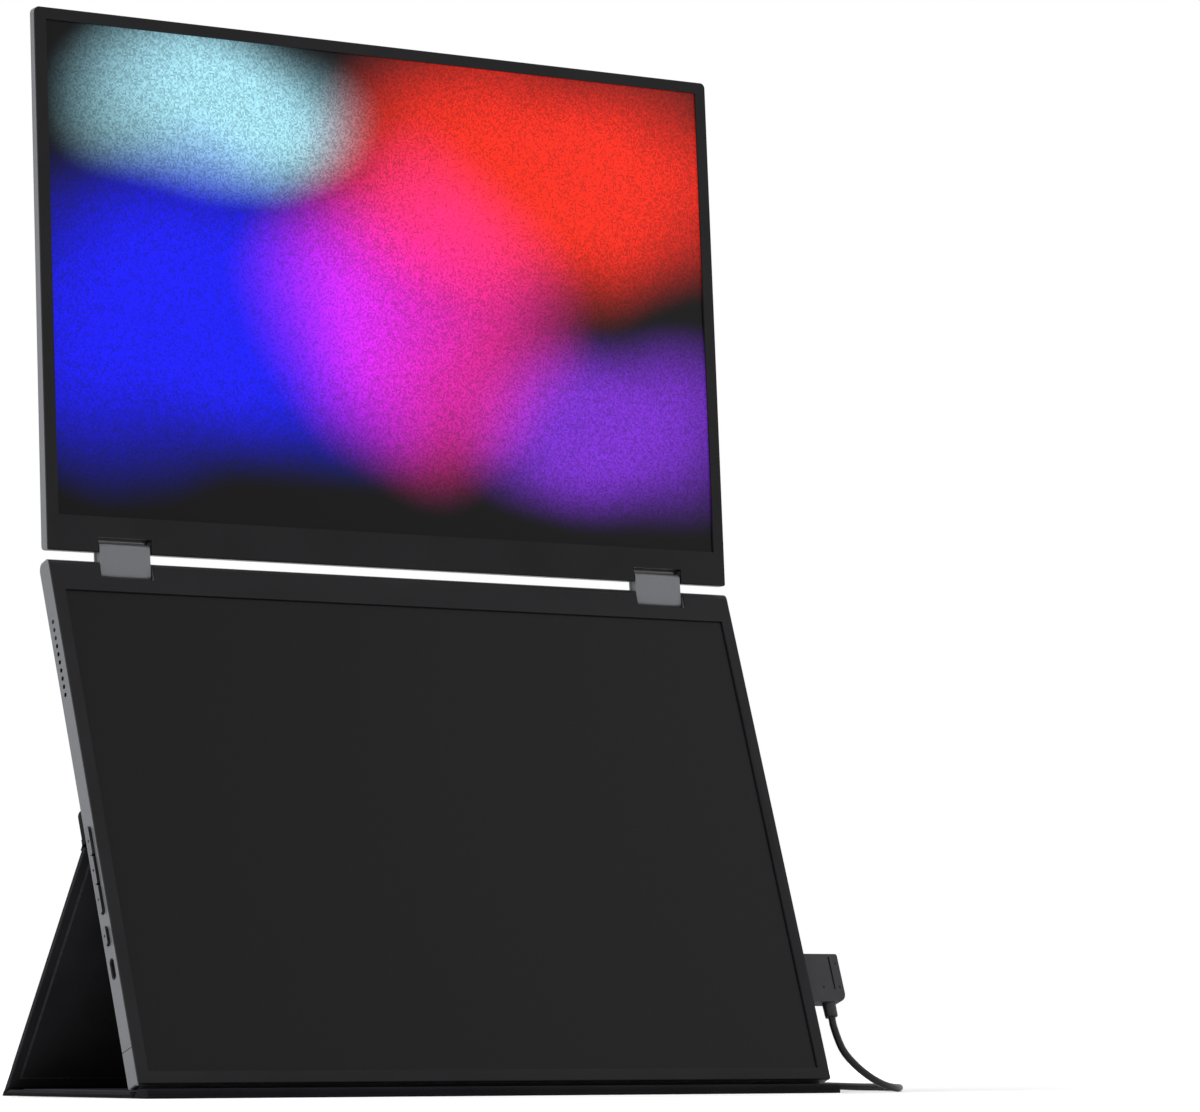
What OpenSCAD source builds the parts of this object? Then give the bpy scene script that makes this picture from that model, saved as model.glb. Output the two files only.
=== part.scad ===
// Stacked two-screen portable monitor on its folding cover.
// Frame: millimetres, +Z up, the screens face -Y, origin on the surface it stands on,
// at the middle of its footprint without the cord.
// Each screen is modelled flat (x across, y from front to back, z up from its lower end)
// and then leaned back. The cover is a triangle: a strip held on the back by magnets,
// a strut, a floor panel and a lip, joined by folds that run across the whole width.

/* [Screens] */
// Thickness of the lower unit
low_t = 8.9; // [8.4:0.1:12]
// Thickness of the upper unit at its hinge end
up_t_hinge = 5.7; // [5.5:0.1:8]
// Thickness of the upper unit at its free end
up_t_free = 4.1; // [3.9:0.1:7]
// Lit width of a display
screen_w = 344.7; // [290:0.1:408]
// Lit height of a display
screen_h = 215.4; // [195:0.1:240]
// Bezel between the lit area and the sides of a unit
bezel_side = 5.55; // [4:0.05:10]
// Bezel between the lit area and the outer end of a unit
bezel_end = 5.2; // [4:0.1:9]
// Border between the lit area and the hinge end of the lower unit
low_chin = 14.6; // [13.8:0.1:24]
// Border between the lit area and the hinge end of the upper unit
up_chin = 15.5; // [14:0.1:24]
// Thickness of the front bezels
bezel_t = 0.9; // [0.7:0.05:1.2]
// Thickness of a display module
display_t = 1.8; // [1.5:0.1:1.9]
// Radius of the upper unit's free corners, seen from the front
corner_r = 2.6; // [1.5:0.1:6]
// Radius of the corners beside the hinges and of those on the table
small_corner_r = 0.9; // [0.5:0.1:2.5]
// Rounding of the lower unit's hinge end towards the front
crown_front_r = 3.4; // [1:0.1:3.8]
// Rounding of the lower unit's hinge end towards the back
crown_back_r = 4.2; // [2:0.1:4.4]
// Seam between the end cap and the shell of the lower unit
cap_seam = 0.3; // [0.1:0.05:0.5]
// Height of the separate end cap on the lower unit
end_cap_h = 16.4; // [12:0.1:24]
// Back and side walls of the lower housing
low_wall = 1.3; // [1:0.1:1.8]
// Back and side walls of the upper housing
up_wall = 0.9; // [0.7:0.1:1.1]

/* [Posture] */
// Backward lean of the lower unit
tilt = 19.5; // [10:0.5:30]
// How far the upper unit is folded forward from in line
hinge_fold = 15.7; // [0:0.1:45]

/* [Hinges] */
// From the side of a unit to its hinge notch
notch_inset = 24.6; // [20:0.1:60]
// Width of a hinge notch
notch_w = 26.4; // [22:0.1:40]
// Depth of the upper unit's hinge notches
notch_d = 6.6; // [6:0.1:9]
// Play between a hinge link and the sides of its notch
link_play = 0.7; // [0.3:0.1:1.2]
// Reach of a link past its shafts
link_r = 2.5; // [2:0.1:2.7]
// Reach of a link ahead of its shafts
link_front = 3.3; // [2.4:0.1:3.4]
// Radius of the hinge shafts
shaft_r = 0.9; // [0.7:0.05:1.1]
// Running clearance of a shaft in its link
shaft_play = 0.05; // [0.02:0.01:0.1]
// Lower axis behind the lower front face
low_axis_y = 4.8; // [4.2:0.1:5.4]
// Lower axis below the top end of the lower unit
low_axis_e = 4.9; // [4.7:0.1:5.4]
// Upper axis behind the upper front face
up_axis_y = 3.6; // [3:0.1:3.7]
// Upper axis above the lower end of the upper unit
up_axis_e = 1.9; // [1.8:0.1:2.4]
// Gap between the two front faces when closed
closed_gap = 2.6; // [1.5:0.1:4]

/* [Cover] */
// Thickness of a cover panel
cover_t = 3.0; // [2.4:0.1:4]
// Strut, from the top fold to the rear fold
strut_l = 124.4; // [118:0.1:150]
// Top fold above the lower end of the unit
fold_h = 109.1; // [95:0.1:112]
// Height of the strip that the magnets hold on the back
strip_h = 16.1; // [12:0.1:30]
// Front fold ahead of the unit's rear lower edge
seat_inset = 3.6; // [3.3:0.1:6]
// Lip, from the front fold to its front edge
lip_l = 12; // [10:0.1:30]
// Height of the lip
lip_t = 4; // [3:0.1:5]
// Stitched margin outside the stiffening boards
margin = 4.5; // [3:0.1:8]
// Thickness of the leatherette and of the lining
skin_t = 0.7; // [0.5:0.05:0.9]
// Clearance between pieces that move against each other
play = 0.3; // [0.2:0.05:0.4]

/* [Left side] */
// Length of each of the three keys in the long slot
key_l = 12.5; // [10:0.1:14]
// Length of the separate key
power_l = 8.2; // [6:0.1:10]
// Width of a key, front to back
key_w = 2.8; // [2.2:0.1:3.2]
// How far the keys stand out of the side
key_proud = 1.3; // [0.8:0.1:2]
// Travel of a key
key_travel = 0.4; // [0.3:0.05:0.5]
// Middle of the three keys above the lower end of the unit
keys_z = 95.2; // [88:0.1:130]
// Middle of the separate key above the lower end of the unit
power_z = 66.1; // [62:0.1:68]
// Middle of the ports above the lower end of the unit
port_z = 51.7; // [48:0.1:54]
// Middle of keys and ports behind the front face
side_y = 4.9; // [4.7:0.05:5]
// Number of holes in a speaker grille
grille_n = 10; // [4:1:12]
// Spacing of the speaker holes
grille_pitch = 3.7; // [2.6:0.1:4]
// Diameter of a speaker hole
grille_d = 2.0; // [1:0.1:2.2]
// First speaker hole below the top end of the lower unit
grille_top = 27.9; // [22:0.1:62]

/* [Cord] */
// Diameter of the cord
cord_d = 3.3; // [3:0.1:3.6]
// Size of the angled plug across, out from the side
plug_w = 19.2; // [16:0.1:24]
// Size of the angled plug along the side
plug_h = 22.7; // [20:0.1:28]
// Thickness of the plugs
plug_t = 6.2; // [5.5:0.1:7]

/* [Hidden] */
$fn = 48;
eps = 0.01;

// A unit is its lit area and the borders round it
unit_w = screen_w + 2 * bezel_side;
low_screen_z = bezel_end + 0.3;
low_h = low_screen_z + screen_h + low_chin;
up_screen_z = up_chin;
up_h = up_screen_z + screen_h + bezel_end;

// Finishes
c_shell = "#8f9093";
c_bezel = "#262628";
c_glass = "#101014";
c_steel = "#a9abae";
c_board = "#1f4a36";
c_cover = "#1b1b1d";
c_lining = "#2c2c2f";
c_cord = "#303033";

// Hinge: a link between two parallel shafts. It leans forward by link_lean0 when the units
// are in line, and is square to both when they are closed, so each shaft's share is fixed.
link_d = low_axis_y + up_axis_y + closed_gap;
link_lean0 = asin((low_axis_y - up_axis_y) / link_d);
low_share = (90 - link_lean0) / 180;
up_tilt = tilt - hinge_fold;
link_tilt = tilt - link_lean0 - low_share * hinge_fold;
link_w = notch_w - 2 * link_play;
link_back = 2.0;
link_corner = 2.0;
// The link's front corner is the point that turns on the largest radius
link_swing = norm([link_front - link_corner, link_r - link_corner]) + link_corner;
low_notch_d = low_axis_e + link_swing + play;

// Lower unit: its rear lower edge stands on the floor panel
edge_r = 1.0;
edge_lift = (sin(tilt) + cos(tilt) - 1) * edge_r;
low_z = cover_t + play + low_t * sin(tilt) - edge_lift;
// Top fold, seen from the front lower edge of the unit
clip_t = cover_t + play;
fold_dy = (low_t + clip_t) * cos(tilt) + fold_h * sin(tilt);
fold_z = low_z - (low_t + clip_t) * sin(tilt) + fold_h * cos(tilt);
strut_run = sqrt(strut_l * strut_l - fold_z * fold_z);
strut_lean = atan2(strut_run, fold_z);
rear_angle = 90 - strut_lean;
// Floor panel, from the rear fold to the front fold
floor_l = strut_run + fold_dy - low_t * cos(tilt) + seat_inset;
foot_l = floor_l + lip_l;
rear_y = foot_l / 2;
front_y = rear_y - floor_l;
low_y = front_y + seat_inset - low_t * cos(tilt);
mid_x = key_proud / 2;

// Hinge axes and the upper unit in the part's frame
low_axis = [low_y + low_axis_y * cos(tilt) + (low_h - low_axis_e) * sin(tilt),
    low_z - low_axis_y * sin(tilt) + (low_h - low_axis_e) * cos(tilt)];
up_axis = low_axis + link_d * [sin(link_tilt), cos(link_tilt)];
up_y = up_axis[0] - up_axis_y * cos(up_tilt) - up_axis_e * sin(up_tilt);
up_z = up_axis[1] + up_axis_y * sin(up_tilt) - up_axis_e * cos(up_tilt);
top_fold = [low_y + fold_dy, fold_z];
echo(low_axis = low_axis, up_axis = up_axis, top_fold = top_fold);
echo(rear_fold = [rear_y, 0], front_fold = [front_y, 0]);
echo(low_origin = [low_y, low_z], up_origin = [up_y, up_z], strut_lean = strut_lean);
echo(low_share = low_share, up_share = 1 - low_share, close_fold = strut_lean + tilt);

// Notches and what lies beside them
notch_x = unit_w / 2 - notch_inset - notch_w / 2;
ear_w = 3;
ear_r = shaft_r + 0.5;
ear_play = 0.15;
leaf_t = 0.8;
leaf_l = 20;
leaf_w = notch_w + 2 * (ear_w + ear_play) + 8;
shaft_l = notch_w + 2 * (ear_w + ear_play);
screw_r = 1.0;
screw_head_r = 1.7;
screw_head_t = 0.5;
boss_w = 5;

// Displays: the module is a little larger than its lit area
module_side = 1.6;
module_end = 1.6;
module_foot = 4.5;
crown_solid = 4.0;

// Left side
key_gap = 0.4;
slot_l = 3 * key_l + 2 * key_gap + 2 * key_gap;
flange_t = 0.7;
flange_lip = 0.7;
port_w = 8.94;
port_h = 3.26;
port_wall = 0.3;
port_play = 0.2;
port_l = 7.2;
contact_w = 8.25;
contact_h = 2.4;
contact_l = 6.2;

// x across, y to the back, z up, from a profile drawn as [y, z]
module across(w) rotate([90, 0, 90]) linear_extrude(w, center = true) children();
// The same from an outline drawn as [x, z], cut from y0 to y1
module facing(y0, y1) translate([0, y1, 0]) rotate([90, 0, 0]) linear_extrude(y1 - y0) children();
module in_lower() translate([mid_x, low_y, low_z]) rotate([-tilt, 0, 0]) children();
module in_upper() translate([mid_x, up_y, up_z]) rotate([-up_tilt, 0, 0]) children();
module in_strut() translate([mid_x, rear_y, 0]) rotate([strut_lean, 0, 0]) children();
module both_sides() for (s = [-1, 1]) translate([s * notch_x, 0, 0]) children();

// A polygon whose corners are rounded, each by its own radius. p: points in turn, r: radii.
module rounded(p, r) {
    n = len(p);
    function to(i, j) = (p[j] - p[i]) / norm(p[j] - p[i]);
    function half(i) = acos(to(i, (i + 1) % n) * to(i, (i + n - 1) % n)) / 2;
    function bis(i) = let (b = to(i, (i + 1) % n) + to(i, (i + n - 1) % n)) b / norm(b);
    polygon([for (i = [0 : n - 1]) let (d = r[i] / tan(half(i)))
        each [p[i] + d * to(i, (i + n - 1) % n), p[i] + d * to(i, (i + 1) % n)]]);
    for (i = [0 : n - 1]) translate(p[i] + r[i] / sin(half(i)) * bis(i)) circle(r[i]);
}
module outline(w, h, low_r, top_r) rounded([[-w / 2, 0], [w / 2, 0], [w / 2, h], [-w / 2, h]],
    [low_r, low_r, top_r, top_r]);

// ---------- lower unit ----------
module low_form() intersection() {
    across(unit_w) rounded([[0, 0], [low_t, 0], [low_t, low_h], [0, low_h]],
        [0.6, edge_r, crown_back_r, crown_front_r]);
    facing(0, low_t) outline(unit_w, low_h, small_corner_r, small_corner_r);
}
module low_notches() both_sides() translate([-notch_w / 2, -1, low_h - low_notch_d])
    cube([notch_w, low_t + 2, low_notch_d + 1]);
// Walls that stay round the notches inside the cavity
module low_notch_walls() both_sides() translate([-notch_w / 2 - boss_w, 0, low_h - low_notch_d - low_wall])
    cube([notch_w + 2 * boss_w, low_t, low_notch_d + low_wall]);
module low_cavity() difference() {
    translate([-unit_w / 2 + low_wall, bezel_t, low_wall])
        cube([unit_w - 2 * low_wall, low_t - low_wall - bezel_t, low_h - low_wall - crown_solid]);
    low_notch_walls();
}
module ear_pocket(h, ay, az, s) for (e = [-1, 1])
    translate([e * (notch_w / 2 + ear_play + ear_w / 2), 0, 0]) across(ear_w + 2 * ear_play)
        ear_2d(h, ay, az, s, ear_r + ear_play);
// Ear of a hinge leaf: round at the shaft, down or up to the leaf's plate
module ear_2d(h, ay, az, s, r) {
    translate([ay, az]) circle(r);
    polygon([[ay - r, az], [ay + r, az], [ay + r, az + s * h], [ay - r, az + s * h]]);
}
module grille_holes(side) for (i = [0 : grille_n - 1])
    translate([side * unit_w / 2, side_y + 0.4, low_h - grille_top - i * grille_pitch])
        rotate([0, 90, 0]) cylinder(d = grille_d, h = 3 * low_wall, center = true, $fn = 20);
module stadium(w, h) {
    r = h / 2;
    square([w - h, h], center = true);
    for (s = [-1, 1]) translate([s * (w / 2 - r), 0]) circle(r, $fn = 32);
}
// A stadium standing along z in the side wall, as seen from the side
module side_slot(side, z, l, w, depth) translate([side * unit_w / 2, side_y, z])
    rotate([0, 90, 0]) linear_extrude(depth, center = true) stadium(l, w);

module lower_back_shell() color(c_shell) in_lower() difference() {
    intersection() {
        low_form();
        translate([-unit_w, bezel_t, end_cap_h]) cube([2 * unit_w, low_t, low_h]);
    }
    low_cavity();
    low_notches();
    both_sides() ear_pocket(8, low_axis_y, low_h - low_axis_e, -1);
    grille_holes(-1);
    grille_holes(1);
    side_slot(-1, keys_z, slot_l, key_w + 2 * play, 4 * low_wall);
    side_slot(-1, power_z, power_l + 2 * play, key_w + 2 * play, 4 * low_wall);
    for (s = [-1, 1]) side_slot(s, port_z, port_w + 2 * port_play, port_h + 2 * port_play,
        4 * low_wall);
}
module bottom_end_cap() color(c_shell) in_lower() difference() {
    intersection() {
        low_form();
        translate([-unit_w, bezel_t, -1]) cube([2 * unit_w, low_t, end_cap_h + 1 - cap_seam]);
    }
    low_cavity();
}
module lower_bezel() color(c_bezel) in_lower() difference() {
    intersection() {
        low_form();
        translate([-unit_w, -1, -1]) cube([2 * unit_w, bezel_t + 1, low_h + 2]);
    }
    translate([-screen_w / 2, -1, low_screen_z]) cube([screen_w, bezel_t + 2, screen_h]);
    low_notches();
}
module lower_display() color(c_glass) in_lower()
    translate([-screen_w / 2 - module_side, bezel_t, low_screen_z - module_end])
        cube([screen_w + 2 * module_side, display_t, screen_h + module_end + module_foot]);

// Main board behind the display, with its chips and the display connector
board_w = 150;
board_h = 62;
board_t = 1.2;
board_z = 34;
module main_board() color(c_board) in_lower() {
    translate([-board_w / 2, low_t - low_wall - board_t - 0.6, board_z])
        cube([board_w, board_t, board_h]);
    for (p = [[-44, 30, 14, 14], [8, 36, 12, 12], [46, 16, 9, 7], [-12, 8, 26, 5]])
        translate([p[0], low_t - low_wall - board_t - 1.7, board_z + p[1]])
            cube([p[2], 1.1 + eps, p[3]]);
}
// Steel keeper plates inside the back wall, which the cover's magnets hold to
plate_t = 0.5;
plate_l = 60;
plate_inset = 2;
magnet_step = 84;
module back_keeper_plates() color(c_steel) in_lower() for (i = [-1.5 : 1 : 1.5])
    translate([i * magnet_step - plate_l / 2, low_t - low_wall - plate_t, fold_h + plate_inset])
        cube([plate_l, plate_t, strip_h - 2 * plate_inset]);

speaker_l = (grille_n - 1) * grille_pitch + 6;
speaker_w = 10;
module speaker(side) in_lower() {
    x = side * (unit_w / 2 - low_wall - speaker_w / 2);
    z = low_h - grille_top - (grille_n - 1) * grille_pitch / 2;
    difference() {
        translate([x, (bezel_t + display_t + low_t - low_wall) / 2 + 0.1, z])
            cube([speaker_w, low_t - low_wall - bezel_t - display_t - 0.4, speaker_l], center = true);
        for (i = [-1 : 1]) translate([x, low_t - low_wall, z + i * 12])
            rotate([90, 0, 0]) cylinder(r = 3.2, h = 1.6, center = true);
    }
}
module speaker_left() color(c_bezel) speaker(-1);
module speaker_right() color(c_bezel) speaker(1);

// USB-C receptacle: a shell with a tongue, its mouth just inside the wall
module usb_port(side) in_lower() translate([side * (unit_w / 2 - 0.2), side_y, port_z])
    rotate([0, -90 * side, 0]) {
        difference() {
            linear_extrude(port_l) stadium(port_w, port_h);
            translate([0, 0, -1]) linear_extrude(port_l)
                stadium(port_w - 2 * port_wall, port_h - 2 * port_wall);
        }
        translate([-3.3, -0.35, 0.8]) cube([6.6, 0.7, port_l - 1]);
    }
module usb_port_left() color(c_steel) usb_port(-1);
module usb_port_right() color(c_steel) usb_port(1);

// Keys: a bar through the wall, with a flange inside that keeps it from falling out
dot_r = 0.55;
dot_d = 0.25;
module key(l, z, top_r, low_r) in_lower() translate([-unit_w / 2, side_y, z]) {
    difference() {
        translate([-key_proud, 0, 0]) rotate([0, 90, 0])
            linear_extrude(key_proud + low_wall + 0.05 + eps)
                rounded([[-l / 2, -key_w / 2], [l / 2, -key_w / 2], [l / 2, key_w / 2], [-l / 2, key_w / 2]],
                    [top_r, low_r, low_r, top_r]);
        translate([-key_proud, 0, 0]) rotate([0, 90, 0])
            cylinder(r = dot_r, h = 2 * dot_d, center = true, $fn = 20);
    }
    translate([low_wall + 0.05, -key_w / 2 - flange_lip, -l / 2])
        cube([flange_t, key_w + 2 * flange_lip, l]);
}
// An end beside another key is nearly square, one in the round end of its slot is round
key_r = 1.0;
key_end_r = key_w / 2 - 0.1;
module key_up() color(c_shell) key(key_l, keys_z + key_l + key_gap, key_end_r, key_r);
module key_menu() color(c_shell) key(key_l, keys_z, key_r, key_r);
module key_down() color(c_shell) key(key_l, keys_z - key_l - key_gap, key_r, key_end_r);
module key_power() color(c_shell) key(power_l, power_z, key_end_r, key_end_r);

switch_x = low_wall + 0.05 + flange_t + key_travel + 0.05;
module switch_board() color(c_board) in_lower() translate([-unit_w / 2 + switch_x, 0, 0]) {
    translate([1.4, side_y - 1.9, power_z - 6]) cube([1.0, 3.8, keys_z - power_z + 6 + slot_l / 2]);
    for (z = [keys_z + key_l + key_gap, keys_z, keys_z - key_l - key_gap, power_z])
        translate([0, side_y - 1.3, z - 1.6]) cube([1.4 + eps, 2.6, 3.2]);
}

// ---------- hinges ----------
// Leaf inside a housing: a plate against the back wall and two ears that hold the shaft.
// s = -1 in the lower unit, 1 in the upper one; by: the inside of the back wall
module leaf(ay, az, s, by) both_sides() difference() {
    union() {
        for (e = [-1, 1]) translate([e * (notch_w / 2 + ear_play + ear_w / 2), 0, 0])
            across(ear_w) ear_2d(8 + leaf_t, ay, az, s, ear_r);
        translate([-leaf_w / 2, by - leaf_t, az + s * 8 - (s < 0 ? leaf_l : 0)])
            cube([leaf_w, leaf_t, leaf_l]);
        for (e = [-1, 1]) translate([e * (notch_w / 2 + ear_play + ear_w / 2) - ear_w / 2,
            ay - ear_r, az + s * 8 - (s < 0 ? leaf_t : 0)])
            cube([ear_w, by - ay + ear_r, leaf_t]);
    }
    translate([0, ay, az]) rotate([0, 90, 0]) cylinder(r = shaft_r, h = leaf_w + 2, center = true);
    for (e = [-1, 1]) translate([e * leaf_w / 3, by, az + s * (8 + leaf_l * 0.6)])
        rotate([90, 0, 0]) cylinder(r = screw_r, h = 3 * leaf_t, center = true);
}
module shafts(ay, az) both_sides() translate([0, ay, az]) rotate([0, 90, 0])
    cylinder(r = shaft_r, h = shaft_l, center = true);
module leaf_screws(az, s, by) both_sides() for (e = [-1, 1])
    translate([e * leaf_w / 3, by, az + s * (8 + leaf_l * 0.6)]) rotate([90, 0, 0]) {
        cylinder(r = screw_r, h = leaf_t);
        translate([0, 0, leaf_t]) cylinder(r = screw_head_r, h = screw_head_t);
    }
low_by = low_t - low_wall;
low_az = low_h - low_axis_e;
module lower_hinge_leaves() color(c_steel) in_lower() leaf(low_axis_y, low_az, -1, low_by);
module lower_hinge_shafts() color(c_steel) in_lower() shafts(low_axis_y, low_az);
module lower_hinge_screws() color(c_steel) in_lower() leaf_screws(low_az, -1, low_by);
module hinge_links() color(c_steel) translate([mid_x, low_axis[0], low_axis[1]])
    rotate([-link_tilt, 0, 0]) both_sides() across(link_w) difference() {
        rounded([[-link_front, -link_r], [link_back, -link_r],
            [link_back, link_d + link_r], [-link_front, link_d + link_r]],
            [link_corner, link_corner, link_corner, link_corner]);
        circle(shaft_r + shaft_play);
        translate([0, link_d]) circle(shaft_r + shaft_play);
    }

// ---------- upper unit ----------
module up_profile() difference() {
    rounded([[0, 0], [up_t_hinge, 0], [up_t_hinge, up_h], [0, up_h]], [0.8, 2.2, 0.5, 0.4]);
    polygon([[up_t_hinge, 3], [up_t_hinge + 1, 3], [up_t_hinge + 1, up_h + 1],
        [up_t_free - 1, up_h + 1], [up_t_free - 1, up_h], [up_t_free, up_h - 1.2]]);
}
module up_form() intersection() {
    across(unit_w) up_profile();
    facing(0, up_t_hinge) outline(unit_w, up_h, small_corner_r, corner_r);
}
function up_back(z) = up_t_hinge + (up_t_free - up_t_hinge) * z / up_h;
// Behind the shaft a notch follows the sweep of the link, so nothing shows through over it
module up_notches() both_sides() {
    translate([-notch_w / 2, -1, -1]) cube([notch_w, up_axis_y + 1, notch_d + 1]);
    translate([-notch_w / 2, up_axis_y - eps, -1]) cube([notch_w, up_t_hinge, up_axis_e + 1]);
    translate([0, up_axis_y, up_axis_e]) rotate([0, 90, 0])
        cylinder(r = link_swing + play, h = notch_w, center = true);
}
module up_cavity() difference() {
    intersection() {
        across(unit_w - 2 * up_wall) polygon([[bezel_t, 2 * up_wall],
            [up_back(0) - up_wall, 2 * up_wall], [up_back(up_h) - up_wall, up_h - up_wall],
            [bezel_t, up_h - up_wall]]);
        facing(0, up_t_hinge) outline(unit_w - up_wall, up_h, small_corner_r, corner_r);
    }
    both_sides() translate([-notch_w / 2 - boss_w, 0, 0])
        cube([notch_w + 2 * boss_w, up_t_hinge, notch_d + 2 * up_wall]);
}
module upper_back_shell() color(c_shell) in_upper() difference() {
    intersection() {
        up_form();
        translate([-unit_w, bezel_t, -1]) cube([2 * unit_w, up_t_hinge, up_h + 2]);
    }
    up_cavity();
    up_notches();
    both_sides() ear_pocket(9.5, up_axis_y, up_axis_e, 1);
}
module upper_bezel() color(c_bezel) in_upper() difference() {
    intersection() {
        up_form();
        translate([-unit_w, -1, -1]) cube([2 * unit_w, bezel_t + 1, up_h + 2]);
    }
    translate([-screen_w / 2, -1, up_screen_z]) cube([screen_w, bezel_t + 2, screen_h]);
    up_notches();
}
module upper_display() color(c_glass) in_upper()
    translate([-screen_w / 2 - module_side, bezel_t, up_screen_z - module_foot / 3])
        cube([screen_w + 2 * module_side, display_t, screen_h + module_end + module_foot / 3]);
driver_w = 190;
driver_h = 9;
module upper_driver_board() color(c_board) in_upper() {
    translate([-driver_w / 2, bezel_t + 0.3, 2.6]) cube([driver_w, 0.8, driver_h]);
    for (k = [-0.37, -0.1, 0.21]) translate([k * driver_w, bezel_t + 1.1 - eps, 4.6]) cube([18, 1.2, 5]);
}
up_by = up_back(8 + leaf_l) - up_wall - 0.05;
module upper_hinge_leaves() color(c_steel) in_upper() leaf(up_axis_y, up_axis_e, 1, up_by);
module upper_hinge_shafts() color(c_steel) in_upper() shafts(up_axis_y, up_axis_e);
module upper_hinge_screws() color(c_steel) in_upper() leaf_screws(up_axis_e, 1, up_by);

// ---------- cover ----------
// A panel is a board between leatherette and lining, which are joined round it in a margin.
// Profile as [along, through]: from s0 to s1 at the outer face, drawn in by b0 and b1 at the
// inner face, so that two panels can fold towards each other.
module panel_2d(s0, s1, b0, b1, t) polygon([[s0, 0], [s1, 0], [s1 - b1, t], [s0 + b0, t]]);
module slab_2d(s0, s1, t0, t1) translate([s0, t0]) square([s1 - s0, t1 - t0]);
module skin_part(s0, s1, b0, b1, t) difference() {
    across(unit_w) intersection() {
        panel_2d(s0, s1, b0, b1, t);
        slab_2d(s0 - 1, s1 + 1, -1, t / 2);
    }
    board_space(s0, s1, b0, b1, t, 0.05);
}
module lining_part(s0, s1, b0, b1, t) difference() {
    across(unit_w) intersection() {
        panel_2d(s0, s1, b0, b1, t);
        slab_2d(s0 - 1, s1 + 1, t / 2, t + 1);
    }
    board_space(s0, s1, b0, b1, t, 0.05);
}
module board_space(s0, s1, b0, b1, t, c) {
    a0 = s0 + max(margin, b0) - c;
    a1 = s1 - max(margin, b1) + c;
    translate([-unit_w / 2 + margin - c, a0, skin_t])
        cube([unit_w - 2 * margin + 2 * c, a1 - a0, t - 2 * skin_t]);
}

// Mitres of the folds
rear_mitre = (cover_t + play) / tan(rear_angle / 2);
groove_c = seat_inset - play;
groove_l = lip_t;

module floor_at() translate([mid_x, rear_y, 0]) mirror([0, 1, 0]) children();
module floor_skin() color(c_cover) floor_at()
    skin_part(play / 2, floor_l - play / 2, rear_mitre, groove_c, cover_t);
module floor_board() color(c_lining) floor_at()
    board_space(play / 2, floor_l - play / 2, rear_mitre, groove_c, cover_t, 0);
module floor_lining() color(c_lining) floor_at()
    lining_part(play / 2, floor_l - play / 2, rear_mitre, groove_c, cover_t);

// The strut's outer face is its rear one: stand the panel up, inner face forward
module strut_at() in_strut() rotate([90, 0, 0]) children();
module strut_skin() color(c_cover) strut_at()
    skin_part(play / 2, strut_l - play / 2, rear_mitre, 0, cover_t);
module strut_board() color(c_lining) strut_at()
    board_space(play / 2, strut_l - play / 2, rear_mitre, 0, cover_t, 0);
module strut_lining() color(c_lining) strut_at()
    lining_part(play / 2, strut_l - play / 2, rear_mitre, 0, cover_t);

// Strip on the unit's back, with bar magnets in the place of a board
magnet_l = 40;
magnet_w = 6;
module clip_at() in_lower() translate([0, low_t + clip_t, fold_h]) rotate([90, 0, 0]) children();
module clip_bars(c) for (i = [-1.5 : 1 : 1.5])
    translate([i * magnet_step - magnet_l / 2 - c, strip_h / 2 - magnet_w / 2 - c, skin_t])
        cube([magnet_l + 2 * c, magnet_w + 2 * c, clip_t - 2 * skin_t]);
module clip_form(t0, t1) translate([0, 0, t0]) linear_extrude(t1 - t0)
    rounded([[-unit_w / 2, play / 2], [unit_w / 2, play / 2], [unit_w / 2, strip_h],
        [-unit_w / 2, strip_h]], [0.1, 0.1, 4, 4]);
module clip_skin() color(c_cover) clip_at() difference() {
    clip_form(0, clip_t / 2);
    clip_bars(0.05);
}
module clip_lining() color(c_lining) clip_at() difference() {
    clip_form(clip_t / 2, clip_t);
    clip_bars(0.05);
}
module clip_magnets() color(c_steel) clip_at() clip_bars(0);

// Lip in front of the groove that the unit stands in
module lip_at() translate([mid_x, front_y, 0]) mirror([0, 1, 0]) children();
module lip_half(t0, t1) intersection() {
    across(unit_w) intersection() {
        rounded([[play / 2, 0], [lip_l, 0], [lip_l, lip_t], [groove_l, lip_t]], [0.1, 0.3, 1.6, 0.3]);
        slab_2d(-1, lip_l + 1, t0, t1);
    }
    linear_extrude(2 * lip_t) rounded([[-unit_w / 2, 0], [unit_w / 2, 0],
        [unit_w / 2, lip_l], [-unit_w / 2, lip_l]], [0.1, 0.1, 3, 3]);
}
lip_core = [4.6, lip_l - 2.2];
module lip_bar(c) translate([-unit_w / 2 + margin - c, lip_core[0] - c, skin_t])
    cube([unit_w - 2 * margin + 2 * c, lip_core[1] - lip_core[0] + 2 * c, lip_t - 2 * skin_t]);
module lip_skin() color(c_cover) lip_at() difference() {
    lip_half(0, lip_t / 2);
    lip_bar(0.05);
}
module lip_lining() color(c_cover) lip_at() difference() {
    lip_half(lip_t / 2, lip_t + 1);
    lip_bar(0.05);
}
module lip_board() color(c_lining) lip_at() lip_bar(0);

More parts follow.
